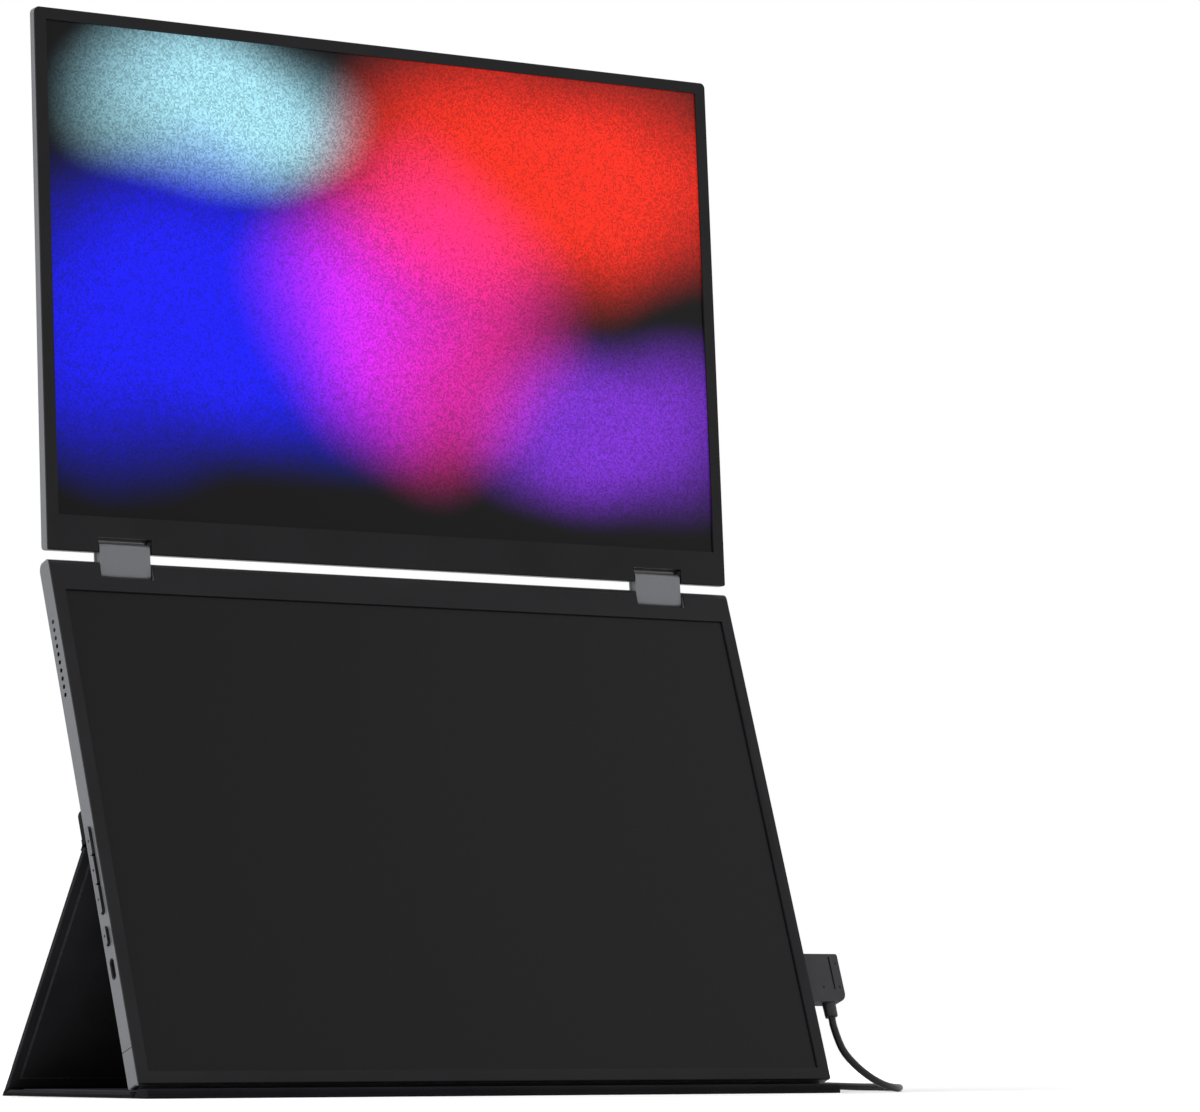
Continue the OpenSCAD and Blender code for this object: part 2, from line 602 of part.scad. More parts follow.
// ---------- cord ----------
plug_gap = 0.8;
plug_top = 8.3;
plug_x = unit_w / 2 + plug_gap;
relief_x = unit_w / 2 + 12;
relief_l = 6.4;
relief_r = [3.2, 2.6];
relief_neck = 2.2;
relief_in = 1.5;
relief_z = port_z + plug_top - plug_h;
module plug_body() color(c_cord) in_lower() difference() {
    facing(side_y - plug_t / 2, side_y + plug_t / 2) rounded(
        [[plug_x, relief_z], [plug_x + plug_w, relief_z], [plug_x + plug_w, relief_z + plug_h],
        [plug_x, relief_z + plug_h]], [1.2, 4.2, 1, 0.8]);
    // groove along the front face
    translate([plug_x + 13.5, side_y - plug_t / 2 - 1, relief_z + 5.9]) cube([1, 1.4, plug_h - 7.3]);
    // finger dimples
    for (p = [[17.1, 18.1], [7.9, 6.8], [16.9, 6.9]])
        translate([plug_x + p[0], side_y - plug_t / 2, relief_z + p[1]])
            rotate([90, 0, 0]) cylinder(r = dot_r, h = 2 * dot_d, center = true, $fn = 20);
    translate([relief_x, side_y, relief_z - 1]) cylinder(r = relief_neck, h = relief_in + 1);
    translate([plug_x - 1, side_y, port_z]) rotate([0, 90, 0]) linear_extrude(3)
        stadium(contact_w, contact_h);
}
module contact(l) difference() {
    linear_extrude(l) stadium(contact_w, contact_h);
    translate([0, 0, 1.2]) linear_extrude(l) stadium(contact_w - 0.7, contact_h - 0.7);
}
module plug_contact() color(c_steel) in_lower() translate([plug_x + 2, side_y, port_z])
    rotate([0, -90, 0]) contact(contact_l + plug_gap + 2 - 0.2);
module plug_relief() color(c_cord) in_lower() translate([relief_x, side_y, relief_z + relief_in])
    rotate([180, 0, 0]) {
        cylinder(r = relief_neck, h = relief_in + eps);
        intersection() {
            translate([0, 0, relief_in]) cylinder(r1 = relief_r[0], r2 = relief_r[1], h = relief_l);
            cube([20, plug_t - 0.2, 40], center = true);
        }
    }

// Where the cord leaves the relief, and the points that it is laid through
exit_y = low_y + side_y * cos(tilt) + (relief_z - relief_l) * sin(tilt);
exit_z = low_z - side_y * sin(tilt) + (relief_z - relief_l) * cos(tilt);
cord_exit = [mid_x + relief_x, exit_y, exit_z];
coil_c = [211, 50];
coil_r = 25.5;
coil_z = 2.25;
cord_z = cord_d / 2 + 0.1;
route = [[192.5, -44, 19.5], [197, -46.5, 13], [204, -48, 7.5], [213, -47, 3.6], [223, -43, 1.9],
    [232, -35, cord_z], [238, -23, cord_z], [240, -9, cord_z], [240, 8, cord_z], [238, 25, 2]];

function unit(v) = v / norm(v);
// Catmull-Rom curve through points, m steps a stretch; a and b are the lead-in and lead-out
function between(a, b, c, d, t) = 0.5 * ((2 * b) + (c - a) * t + (2 * a - 5 * b + 4 * c - d) * t * t
    + (3 * b - a - 3 * c + d) * t * t * t);
function curve(p, m) = [for (i = [1 : len(p) - 3], k = [0 : m - 1])
    between(p[i - 1], p[i], p[i + 1], p[i + 2], k / m), p[len(p) - 2]];
function path_len(p) = [for (i = 0, s = 0; i < len(p); s = s + (i + 1 < len(p) ? norm(p[i + 1] - p[i]) : 0),
    i = i + 1) s][len(p) - 1];
// Tube along points: rings stay square to the path and don't twist
module tube(p, r, sides, t0, t1) {
    n = len(p);
    t = [for (i = [0 : n - 1]) i == 0 ? t0 : i == n - 1 ? t1 : unit(p[i + 1] - p[i - 1])];
    a = [for (i = 0, v = unit(cross(t[0], [0.1, 1, 0.2])); i < n;
        i = i + 1, v = i < n ? unit(v - t[i] * (v * t[i])) : v) v];
    ring = [for (i = [0 : n - 1], k = [0 : sides - 1]) let (q = 360 * (k + 0.5) / sides)
        p[i] + r * (cos(q) * a[i] + sin(q) * cross(t[i], a[i]))];
    polyhedron(ring, concat(
        [[for (k = [sides - 1 : -1 : 0]) k]], [[for (k = [0 : sides - 1]) (n - 1) * sides + k]],
        [for (i = [0 : n - 2], k = [0 : sides - 1]) let (j = (k + 1) % sides, b = i * sides)
            each [[b + k, b + j, b + sides + j], [b + k, b + sides + j, b + sides + k]]]));
}
exit_dir = [0, -sin(tilt), -cos(tilt)];
coil_start = [coil_c[0] + coil_r, coil_c[1], coil_z];
lead_pts = curve(concat([cord_exit - 12 * exit_dir, cord_exit, cord_exit + 5 * exit_dir], route,
    [coil_start - [0, cord_d, 0], coil_start + [0, 8, 0]]), 5);
lead_path = concat(lead_pts, [coil_start]);
module cord_lead() color(c_cord) tube(lead_path, cord_d / 2, 8, exit_dir, [0, 1, 0]);

// Coil: three and a quarter turns inwards on the surface, a climb of half a turn, then
// outwards on top, and a straight end that comes down to its plug
coil_pitch = 4.3;
coil_step = 4.0;
turns_in = 3.25;
turns_out = 3.25;
ring_n = 24;
function coil_point(u) = let (
    n1 = turns_in, n2 = turns_in + 0.5,
    r = u < n1 ? coil_r - coil_pitch * u : u < n2 ? coil_r - coil_pitch * n1
        : coil_r - coil_pitch * n1 + coil_pitch * (u - n2),
    z = u < n1 ? 0 : u < n2 ? coil_step * (1 - cos(360 * (u - n1))) / 2 : coil_step)
    [coil_c[0] + r * cos(360 * u), coil_c[1] + r * sin(360 * u), coil_z + z];
coil_turns = turns_in + 0.5 + turns_out;
coil_end = coil_point(coil_turns);
end_plug_z = plug_t / 2 + 0.1;
tail_l = 36;
tail = [for (s = [5 : 5 : tail_l - 5]) let (k = min(1, max(0, (s - 10) / (tail_l - 15))))
    coil_end + [0, s, (end_plug_z - coil_end[2]) * (1 - cos(180 * k)) / 2]];
coil_path = concat([coil_start], [for (i = [1 : round(coil_turns * ring_n)])
    coil_point(i / ring_n)], tail, [[coil_end[0], coil_end[1] + tail_l, end_plug_z]]);
coil_gap = min([for (i = [0 : len(coil_path) - 1], j = [i + 12 : 1 : len(coil_path) - 1])
    norm(coil_path[i] - coil_path[j])]) - cord_d;
echo(coil_gap = coil_gap, lead_length = path_len(lead_path), coil_length = path_len(coil_path));
module cord_coil() color(c_cord) tube(coil_path, cord_d / 2, 6, [0, 1, 0], [0, 1, 0]);

// Strap round all the turns, on the coil's left side
tie_t = 0.5;
tie_w = 8;
tie_in = [16.8, 7.7];
tie_r = 17.0;
module cord_tie() color(c_cover) translate([coil_c[0] - tie_r, coil_c[1], tie_t + tie_in[1] / 2])
    rotate([90, 0, 0]) linear_extrude(tie_w, center = true) difference() {
        square([tie_in[0] + 2 * tie_t, tie_in[1] + 2 * tie_t], center = true);
        square(tie_in, center = true);
    }
end_at = [coil_end[0], coil_end[1] + tail_l, end_plug_z];
end_relief_l = 9;
end_body_l = 18;
module end_plug_relief() color(c_cord) translate(end_at) rotate([-90, 0, 0])
    cylinder(r1 = 2.2, r2 = 2.8, h = end_relief_l);
module end_plug_body() color(c_cord) translate(end_at + [0, end_relief_l, 0]) rotate([-90, 0, 0])
    linear_extrude(end_body_l) stadium(11, plug_t);
module end_plug_contact() color(c_steel) translate(end_at + [0, end_relief_l + end_body_l, 0])
    rotate([-90, 0, 0]) linear_extrude(6.65) difference() {
        stadium(contact_w, contact_h);
        stadium(contact_w - 0.7, contact_h - 0.7);
    }

upper_back_shell();
upper_bezel();
upper_display();
upper_driver_board();
upper_hinge_leaves();
upper_hinge_shafts();
upper_hinge_screws();
hinge_links();
lower_back_shell();
lower_bezel();
lower_display();
bottom_end_cap();
main_board();
lower_hinge_leaves();
lower_hinge_shafts();
lower_hinge_screws();
back_keeper_plates();
speaker_left();
speaker_right();
usb_port_left();
usb_port_right();
switch_board();
key_up();
key_menu();
key_down();
key_power();
clip_skin();
clip_lining();
clip_magnets();
strut_skin();
strut_board();
strut_lining();
floor_skin();
floor_board();
floor_lining();
lip_skin();
lip_board();
lip_lining();
plug_body();
plug_contact();
plug_relief();
cord_lead();
cord_coil();
cord_tie();
end_plug_relief();
end_plug_body();
end_plug_contact();
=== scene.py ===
import math

import bmesh
import bpy
from mathutils import Matrix, Vector


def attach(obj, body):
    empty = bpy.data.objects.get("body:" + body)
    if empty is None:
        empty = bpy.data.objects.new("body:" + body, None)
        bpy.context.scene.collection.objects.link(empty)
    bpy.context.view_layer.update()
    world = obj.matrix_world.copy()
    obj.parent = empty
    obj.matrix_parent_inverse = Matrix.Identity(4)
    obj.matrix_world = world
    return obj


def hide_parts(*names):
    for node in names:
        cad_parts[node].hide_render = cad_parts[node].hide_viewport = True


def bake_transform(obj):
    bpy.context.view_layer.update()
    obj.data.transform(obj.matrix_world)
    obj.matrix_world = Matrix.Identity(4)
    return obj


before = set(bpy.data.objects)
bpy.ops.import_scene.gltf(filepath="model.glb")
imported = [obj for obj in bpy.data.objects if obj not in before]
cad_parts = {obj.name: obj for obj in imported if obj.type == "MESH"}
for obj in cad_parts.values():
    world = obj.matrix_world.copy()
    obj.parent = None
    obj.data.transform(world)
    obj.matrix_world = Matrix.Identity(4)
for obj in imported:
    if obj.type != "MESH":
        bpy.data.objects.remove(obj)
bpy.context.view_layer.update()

# ---------------------------------------------------------------- camera
# A long lens low beside the screens, 2.5 m away, at the place that a fit to the
# panel's corners gives. The picture is 1200 x 1112.
lens = bpy.data.cameras.new("long_lens")
lens.sensor_fit = "HORIZONTAL"
lens.sensor_width = 36
lens.lens = 171.15
lens.clip_start = 0.05
lens.clip_end = 30
camera = bpy.data.objects.new("camera", lens)
bpy.context.collection.objects.link(camera)
camera.location = (-1.36767, -2.08447, 0.03014)
looking = Vector((0.57138, 0.81658, 0.08189))
camera.rotation_euler = looking.to_track_quat("-Z", "Y").to_euler()
bpy.context.scene.camera = camera

# ---------------------------------------------------------------- cord
# A round charging cord with a smooth TPE jacket. It leaves the angled plug downwards,
# lies on the table beside the stand, and its spare length is wound into a flat coil of
# two layers behind the screens, held by a strap.


def srgb(hexcode):
    """sRGB hex to linear colour, opaque."""
    values = [int(hexcode[i : i + 2], 16) / 255 for i in (1, 3, 5)]
    return [v / 12.92 if v <= 0.04045 else ((v + 0.055) / 1.055) ** 2.4 for v in values] + [1.0]


def node(owner, kind, settings=None, sockets=None, links=None):
    """Adds one node to a material or the world: its settings, the values of its sockets,
    and what feeds them."""
    made = owner.node_tree.nodes.new(kind)
    for key, value in (settings or {}).items():
        setattr(made, key, value)
    for key, value in (sockets or {}).items():
        made.inputs[key].default_value = value
    for key, source in (links or {}).items():
        owner.node_tree.links.new(source, made.inputs[key])
    return made


def new_material(name):
    """A material whose shader is the Principled one, returned with that shader."""
    mat = bpy.data.materials.new(name)
    mat.use_nodes = True
    return mat, mat.node_tree.nodes["Principled BSDF"]


def dress(obj, mat):
    """Gives the whole of a piece one material."""
    obj.data.materials.clear()
    obj.data.materials.append(mat)
    if obj.type == "MESH":
        for face in obj.data.polygons:
            face.material_index = 0


# moulded TPE jacket, soft and dark grey: the eye sees a broad dull highlight and a faint
# orange-peel from extrusion (0.6 mm, drawn at 1.1 mm to show)
tpe_jacket, shader = new_material("moulded_tpe")
place = node(tpe_jacket, "ShaderNodeTexCoord")
peel = node(tpe_jacket, "ShaderNodeTexNoise", sockets={"Scale": 900.0, "Detail": 3.0},
    links={"Vector": place.outputs["Object"]})
cloudy = node(tpe_jacket, "ShaderNodeTexNoise", sockets={"Scale": 60.0, "Detail": 2.0},
    links={"Vector": place.outputs["Object"]})
tint = node(tpe_jacket, "ShaderNodeValToRGB", links={"Fac": cloudy.outputs["Fac"]})
tint.color_ramp.elements[0].position = 0.3
tint.color_ramp.elements[0].color = srgb("#17171a")
tint.color_ramp.elements[1].position = 0.7
tint.color_ramp.elements[1].color = srgb("#1e1e21")
bump = node(tpe_jacket, "ShaderNodeBump", sockets={"Strength": 0.12, "Distance": 0.0002},
    links={"Height": peel.outputs["Fac"]})
tpe_jacket.node_tree.links.new(tint.outputs["Color"], shader.inputs["Base Color"])
tpe_jacket.node_tree.links.new(bump.outputs["Normal"], shader.inputs["Normal"])
shader.inputs["Roughness"].default_value = 0.36
shader.inputs["Specular IOR Level"].default_value = 0.2

# the lower unit leans back from its foot; the strain relief under the plug is given in
# that unit's own axes, and the cord leaves its lower end
lean = math.radians(19.5)
lower_foot = Vector((0.65, -53.8944, 5.99443))
relief_x = 189.9
relief_y = 4.9
relief_low = 30.9
relief_high = 37.4
relief_end = lower_foot + Vector((
    relief_x,
    relief_y * math.cos(lean) + relief_low * math.sin(lean),
    -relief_y * math.sin(lean) + relief_low * math.cos(lean)))
down = Vector((0, -math.sin(lean), -math.cos(lean)))
inside_relief = 12
straight_run = 5
laid = [
    (192.5, -44, 19.5), (197, -46.5, 13), (204, -48, 7.5), (213, -47, 3.6), (223, -43, 1.9),
    (232, -35, 1.75), (238, -23, 1.75), (240, -9, 1.75), (240, 8, 1.75), (238, 25, 2),
]
coil_middle = Vector((211, 50, 2.25))
outer_turn = 25.5
turn_step = 4.3
layer_step = 4.0
inward_turns = 3.25
climb_turns = 0.5
all_turns = 7
points_per_turn = 24
coil_mouth = coil_middle + Vector((outer_turn, 0, 0))
mouth_run = Vector((0, 3.3, 0))
mouth_heading = Vector((0, 8, 0))


def smooth_through(points, steps):
    """Catmull-Rom curve through the inner points."""
    found = []
    for a, b, c, d in zip(points, points[1:], points[2:], points[3:]):
        for k in range(steps):
            t = k / steps
            bent = 2 * b + (c - a) * t + (2 * a - 5 * b + 4 * c - d) * t * t
            found.append(0.5 * (bent + (3 * b - a - 3 * c + d) * t**3))
    return found + [points[-2]]


def coil_at(turn):
    """The cord's centre after so many turns: in on the table, up half a turn, out on top."""
    climb = min(max(turn - inward_turns, 0), climb_turns)
    if turn < inward_turns:
        radius = outer_turn - turn_step * turn
    else:
        outward = max(0, turn - inward_turns - climb_turns)
        radius = outer_turn - turn_step * inward_turns + turn_step * outward
    rise = layer_step * (1 - math.cos(2 * math.pi * climb)) / 2
    angle = 2 * math.pi * turn
    return coil_middle + Vector((radius * math.cos(angle), radius * math.sin(angle), rise))


# the first and the last point only set the curve's direction at its ends
from_plug = [relief_end - inside_relief * down, relief_end, relief_end + straight_run * down]
into_coil = [coil_mouth - mouth_run, coil_mouth + mouth_heading]
lead = smooth_through(from_plug + [Vector(at) for at in laid] + into_coil, 3)
turns = [coil_at(i / points_per_turn) for i in range(points_per_turn * all_turns + 1)]

# the tail leaves the coil straight and sinks to the height of the far plug's middle
last = turns[-1]
tail_length = 36
tail_height = 3.2
sink_start = 10
sink_length = 21
tail = []
for along in (5, 10, 15, 20, 25, 30):
    share = min(1, max(0, (along - sink_start) / sink_length))
    sunk = (tail_height - last.z) * (1 - math.cos(math.pi * share)) / 2
    tail.append(last + Vector((0, along, sunk)))
tail.append(Vector((last.x, last.y + tail_length, tail_height)))

cord_line = lead + turns + tail
cord_radius = 0.00165
cord_curve = bpy.data.curves.new("cord", "CURVE")
cord_curve.dimensions = "3D"
cord_curve.bevel_depth = cord_radius
cord_curve.bevel_resolution = 3
cord_curve.use_fill_caps = True
strand = cord_curve.splines.new("POLY")
strand.points.add(len(cord_line) - 1)
for point, at in zip(strand.points, cord_line):
    point.co = (at.x / 1000, at.y / 1000, at.z / 1000, 1)
strand.use_smooth = True
cord = bpy.data.objects.new("cord", cord_curve)
bpy.context.collection.objects.link(cord)
dress(cord, tpe_jacket)
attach(cord, "lower_unit")
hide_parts("cord_lead", "cord_coil")

# ---------------------------------------------------------------- plug and strap
# An angled plug, moulded on the cord in the same TPE: a flat block with a shallow groove
# and finger dimples, a drawn steel contact shell, and a short tapered strain relief.
# The strap is woven hook-and-loop tape.

# moulded TPE from an eroded tool: duller and a little paler than the jacket, with a fine
# grain (0.2 mm, drawn at 0.7 mm to show)
plug_grip, shader = new_material("plug_tpe")
place = node(plug_grip, "ShaderNodeTexCoord")
peel = node(plug_grip, "ShaderNodeTexNoise", sockets={"Scale": 1400.0, "Detail": 4.0},
    links={"Vector": place.outputs["Object"]})
cloudy = node(plug_grip, "ShaderNodeTexNoise", sockets={"Scale": 90.0, "Detail": 3.0},
    links={"Vector": place.outputs["Object"]})
tint = node(plug_grip, "ShaderNodeValToRGB", links={"Fac": cloudy.outputs["Fac"]})
tint.color_ramp.elements[0].position = 0.3
tint.color_ramp.elements[0].color = srgb("#252528")
tint.color_ramp.elements[1].position = 0.7
tint.color_ramp.elements[1].color = srgb("#2d2d30")
bump = node(plug_grip, "ShaderNodeBump", sockets={"Strength": 0.2, "Distance": 0.0001},
    links={"Height": peel.outputs["Fac"]})
# painted shade: the groove and the dimples sunk into the front face are painted near black, as the
# shade that falls in them; they lie in this box, in the lower unit's own axes
local = node(plug_grip, "ShaderNodeMapping", {"vector_type": "TEXTURE"},
    {"Location": lower_foot / 1000, "Rotation": (-lean, 0, 0)}, {"Vector": place.outputs["Object"]})
apart = node(plug_grip, "ShaderNodeSeparateXYZ", links={"Vector": local.outputs["Vector"]})
within = []
for axis, middle, half in (("X", 0.1883, 0.0089), ("Y", 0.0022, 0.0003), ("Z", 0.0486, 0.0106)):
    within.append(node(plug_grip, "ShaderNodeMath", {"operation": "COMPARE"}, {1: middle, 2: half},
        {0: apart.outputs[axis]}))
both = node(plug_grip, "ShaderNodeMath", {"operation": "MULTIPLY"},
    links={0: within[0].outputs["Value"], 1: within[1].outputs["Value"]})
sunk = node(plug_grip, "ShaderNodeMath", {"operation": "MULTIPLY"},
    links={0: both.outputs["Value"], 1: within[2].outputs["Value"]})
painted_recess_shade = node(plug_grip, "ShaderNodeMix", {"data_type": "RGBA"}, {7: srgb("#020202")},
    {0: sunk.outputs["Value"], 6: tint.outputs["Color"]})
plug_grip.node_tree.links.new(painted_recess_shade.outputs[2], shader.inputs["Base Color"])
plug_grip.node_tree.links.new(bump.outputs["Normal"], shader.inputs["Normal"])
shader.inputs["Roughness"].default_value = 0.5
shader.inputs["Specular IOR Level"].default_value = 0.25


def soften(obj, width):
    """Joins a node's loose triangles and rounds its edges, as tools and moulds leave them."""
    weld = obj.modifiers.new("joined", "WELD")
    weld.merge_threshold = 0.00001
    edge = obj.modifiers.new("edges", "BEVEL")
    edge.width = width
    edge.segments = 2
    edge.limit_method = "ANGLE"
    edge.angle_limit = math.radians(40)
    edge.harden_normals = True


for name, rounding in (("plug_body", 0.00015), ("end_plug_body", 0.0004), ("end_plug_relief", 0.0002)):
    dress(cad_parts[name], plug_grip)
    soften(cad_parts[name], width=rounding)


def object_from(shape, name):
    """Turns a bmesh into a piece of the object, in metres, smooth where it is round."""
    mesh = bpy.data.meshes.new(name)
    bmesh.ops.scale(shape, vec=(0.001, 0.001, 0.001), verts=shape.verts)
    shape.to_mesh(mesh)
    shape.free()
    made = bpy.data.objects.new(name, mesh)
    bpy.context.collection.objects.link(made)
    mesh.shade_smooth()
    mesh.set_sharp_from_angle(angle=math.radians(35))
    return made


# strain relief: a sleeve that widens a little towards the plug, spun and then flattened
lower_place = Matrix.Translation(lower_foot) @ Matrix.Rotation(-lean, 4, "X")
sleeve = bmesh.new()
profile = [sleeve.verts.new((0, 0, relief_low))]
for height, radius in (
    (relief_low, 2.6), (31.0, 2.85), (31.3, 3.0), (32.2, 3.02), (34.5, 3.08), (36.6, 3.14),
    (relief_high, 3.16),
):
    profile.append(sleeve.verts.new((radius, 0, height)))
profile.append(sleeve.verts.new((0, 0, relief_high)))
edges = [sleeve.edges.new((a, b)) for a, b in zip(profile, profile[1:])]
bmesh.ops.spin(sleeve, geom=profile + edges, cent=(0, 0, 0), axis=(0, 0, 1), angle=2 * math.pi, steps=32,
    use_merge=True)
bmesh.ops.remove_doubles(sleeve, verts=sleeve.verts, dist=0.001)
bmesh.ops.scale(sleeve, vec=(1, 0.9, 1), verts=sleeve.verts)
bmesh.ops.recalc_face_normals(sleeve, faces=sleeve.faces)
bmesh.ops.transform(sleeve, matrix=lower_place @ Matrix.Translation((relief_x, relief_y, 0)),
    verts=sleeve.verts)
relief = object_from(sleeve, "strain_relief")
dress(relief, plug_grip)
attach(relief, "lower_unit")
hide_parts("plug_relief")

# drawn stainless steel: bright, with fine draw lines 0.3 mm apart
drawn_steel, shader = new_material("drawn_stainless")
place = node(drawn_steel, "ShaderNodeTexCoord")
stretch = node(drawn_steel, "ShaderNodeMapping", sockets={"Scale": (60.0, 3000.0, 3000.0)},
    links={"Vector": place.outputs["Object"]})
lines = node(drawn_steel, "ShaderNodeTexNoise", sockets={"Scale": 1.0, "Detail": 2.0},
    links={"Vector": stretch.outputs["Vector"]})
rough = node(drawn_steel, "ShaderNodeMapRange", sockets={"To Min": 0.22, "To Max": 0.38},
    links={"Value": lines.outputs["Fac"]})
tint = node(drawn_steel, "ShaderNodeValToRGB", links={"Fac": lines.outputs["Fac"]})
tint.color_ramp.elements[0].color = srgb("#b4b4b6")
tint.color_ramp.elements[1].color = srgb("#cfcfd1")
drawn_steel.node_tree.links.new(rough.outputs["Result"], shader.inputs["Roughness"])
drawn_steel.node_tree.links.new(tint.outputs["Color"], shader.inputs["Base Color"])
shader.inputs["Metallic"].default_value = 1.0
for name in ("plug_contact", "end_plug_contact"):
    dress(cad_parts[name], drawn_steel)
    soften(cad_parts[name], width=0.00008)

# the sockets' shells: painted shade: steel painted near black, with a faint mottling of 0.8 mm,
# so that a port reads as the dark slot that its shade makes
port_painted_shade, shader = new_material("port_painted_shade_steel")
place = node(port_painted_shade, "ShaderNodeTexCoord")
mottled = node(port_painted_shade, "ShaderNodeTexNoise", sockets={"Scale": 1200.0, "Detail": 2.0},
    links={"Vector": place.outputs["Object"]})
tint = node(port_painted_shade, "ShaderNodeValToRGB", links={"Fac": mottled.outputs["Fac"]})
tint.color_ramp.elements[0].color = srgb("#101012")
tint.color_ramp.elements[1].color = srgb("#18181a")
port_painted_shade.node_tree.links.new(tint.outputs["Color"], shader.inputs["Base Color"])
shader.inputs["Metallic"].default_value = 0.4
shader.inputs["Roughness"].default_value = 0.5
for name in ("usb_port_left", "usb_port_right"):
    dress(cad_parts[name], port_painted_shade)
    soften(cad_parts[name], width=0.00008)

# woven polyester tape: matt, its threads 0.5 mm apart drawn at 1 mm to show
strap_weave, shader = new_material("woven_strap")
place = node(strap_weave, "ShaderNodeTexCoord")
warp = node(strap_weave, "ShaderNodeTexWave", {"bands_direction": "Y"}, {"Scale": 320.0, "Distortion": 1.0},
    {"Vector": place.outputs["Object"]})
weft = node(strap_weave, "ShaderNodeTexWave", {"bands_direction": "DIAGONAL"},
    {"Scale": 320.0, "Distortion": 1.0}, {"Vector": place.outputs["Object"]})
threads = node(strap_weave, "ShaderNodeMath", {"operation": "MAXIMUM"},
    links={0: warp.outputs["Fac"], 1: weft.outputs["Fac"]})
tint = node(strap_weave, "ShaderNodeValToRGB", links={"Fac": threads.outputs["Value"]})
tint.color_ramp.elements[0].color = srgb("#0e0e10")
tint.color_ramp.elements[1].color = srgb("#29292c")
bump = node(strap_weave, "ShaderNodeBump", sockets={"Strength": 0.5, "Distance": 0.0002},
    links={"Height": threads.outputs["Value"]})
strap_weave.node_tree.links.new(tint.outputs["Color"], shader.inputs["Base Color"])
strap_weave.node_tree.links.new(bump.outputs["Normal"], shader.inputs["Normal"])
shader.inputs["Roughness"].default_value = 0.85
dress(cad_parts["cord_tie"], strap_weave)
soften(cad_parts["cord_tie"], width=0.00015)

# ---------------------------------------------------------------- housings
# Back shells, end cap and the keys' faces are milled and pressed aluminium, bead-blasted
# and anodised a mid grey, with their edges broken by about 0.1 mm. The upper unit's shell
# is the thinner one.


def aluminium(name):
    """Bead-blasted anodised aluminium, a fine sparkle (grain 0.1 mm, drawn at 0.4 mm) under
    a broad soft highlight; returned with its shader and the nodes that a piece may build on."""
    mat, shader = new_material(name)
    place = node(mat, "ShaderNodeTexCoord")
    blast = node(mat, "ShaderNodeTexNoise", sockets={"Scale": 2600.0, "Detail": 2.0},
        links={"Vector": place.outputs["Object"]})
    cloudy = node(mat, "ShaderNodeTexNoise", sockets={"Scale": 14.0, "Detail": 3.0},
        links={"Vector": place.outputs["Object"]})
    mixed = node(mat, "ShaderNodeMath", {"operation": "MULTIPLY_ADD"}, {1: 0.2},
        {0: cloudy.outputs["Fac"], 2: blast.outputs["Fac"]})
    tint = node(mat, "ShaderNodeValToRGB", links={"Fac": mixed.outputs["Value"]})
    tint.color_ramp.elements[0].position = 0.3
    tint.color_ramp.elements[0].color = srgb("#626366")
    tint.color_ramp.elements[1].position = 0.9
    tint.color_ramp.elements[1].color = srgb("#6e6f73")
    bump = node(mat, "ShaderNodeBump", sockets={"Strength": 0.15, "Distance": 0.00005},
        links={"Height": blast.outputs["Fac"]})
    mat.node_tree.links.new(tint.outputs["Color"], shader.inputs["Base Color"])
    mat.node_tree.links.new(bump.outputs["Normal"], shader.inputs["Normal"])
    shader.inputs["Metallic"].default_value = 0.5
    shader.inputs["Roughness"].default_value = 0.46
    return mat, shader, place, tint


# the shells: painted shade, near black, takes the metal's place inside the side walls' openings
# (keys, grilles, ports), in the lower unit's own axes, and inside the notches of the upper shell,
# within the links' sweep round the upper shafts' axis, where shade falls
wall_middle = 0.1767
wall_half = 0.00115
openings_middle = 0.0049
openings_half = 0.0022
openings_top = 0.2
upper_axis_y = 0.02824
upper_axis_z = 0.23371
sweep_radius = 0.0046
link_middle = 0.1401
link_half = 0.0133
anodised, shader, place, tint = aluminium("bead_blasted_aluminium")
inside = node(anodised, "ShaderNodeMapping", {"vector_type": "TEXTURE"},
    {"Location": lower_foot / 1000, "Rotation": (-lean, 0, 0)}, {"Vector": place.outputs["Object"]})
apart = node(anodised, "ShaderNodeSeparateXYZ", links={"Vector": inside.outputs["Vector"]})
sideways = node(anodised, "ShaderNodeMath", {"operation": "ABSOLUTE"}, links={0: apart.outputs["X"]})
in_wall = node(anodised, "ShaderNodeMath", {"operation": "COMPARE"}, {1: wall_middle, 2: wall_half},
    {0: sideways.outputs["Value"]})
in_band = node(anodised, "ShaderNodeMath", {"operation": "COMPARE"},
    {1: openings_middle, 2: openings_half}, {0: apart.outputs["Y"]})
below = node(anodised, "ShaderNodeMath", {"operation": "LESS_THAN"}, {1: openings_top},
    {0: apart.outputs["Z"]})
both = node(anodised, "ShaderNodeMath", {"operation": "MULTIPLY"},
    links={0: in_wall.outputs["Value"], 1: in_band.outputs["Value"]})
opening = node(anodised, "ShaderNodeMath", {"operation": "MULTIPLY"},
    links={0: both.outputs["Value"], 1: below.outputs["Value"]})
swept = node(anodised, "ShaderNodeVectorMath", {"operation": "MULTIPLY_ADD"},
    {1: (0, 1, 1), 2: (0, -upper_axis_y, -upper_axis_z)}, {0: place.outputs["Object"]})
reach = node(anodised, "ShaderNodeVectorMath", {"operation": "LENGTH"}, links={0: swept.outputs["Vector"]})
near_axis = node(anodised, "ShaderNodeMath", {"operation": "LESS_THAN"}, {1: sweep_radius},
    {0: reach.outputs["Value"]})
at_link = node(anodised, "ShaderNodeMath", {"operation": "COMPARE"}, {1: link_middle, 2: link_half},
    {0: sideways.outputs["Value"]})
notch = node(anodised, "ShaderNodeMath", {"operation": "MULTIPLY"},
    links={0: near_axis.outputs["Value"], 1: at_link.outputs["Value"]})
# painted shade: where this mask is 1 the colour goes near black and the metal goes dull
painted_shade_mask = node(anodised, "ShaderNodeMath", {"operation": "MAXIMUM"},
    links={0: opening.outputs["Value"], 1: notch.outputs["Value"]})
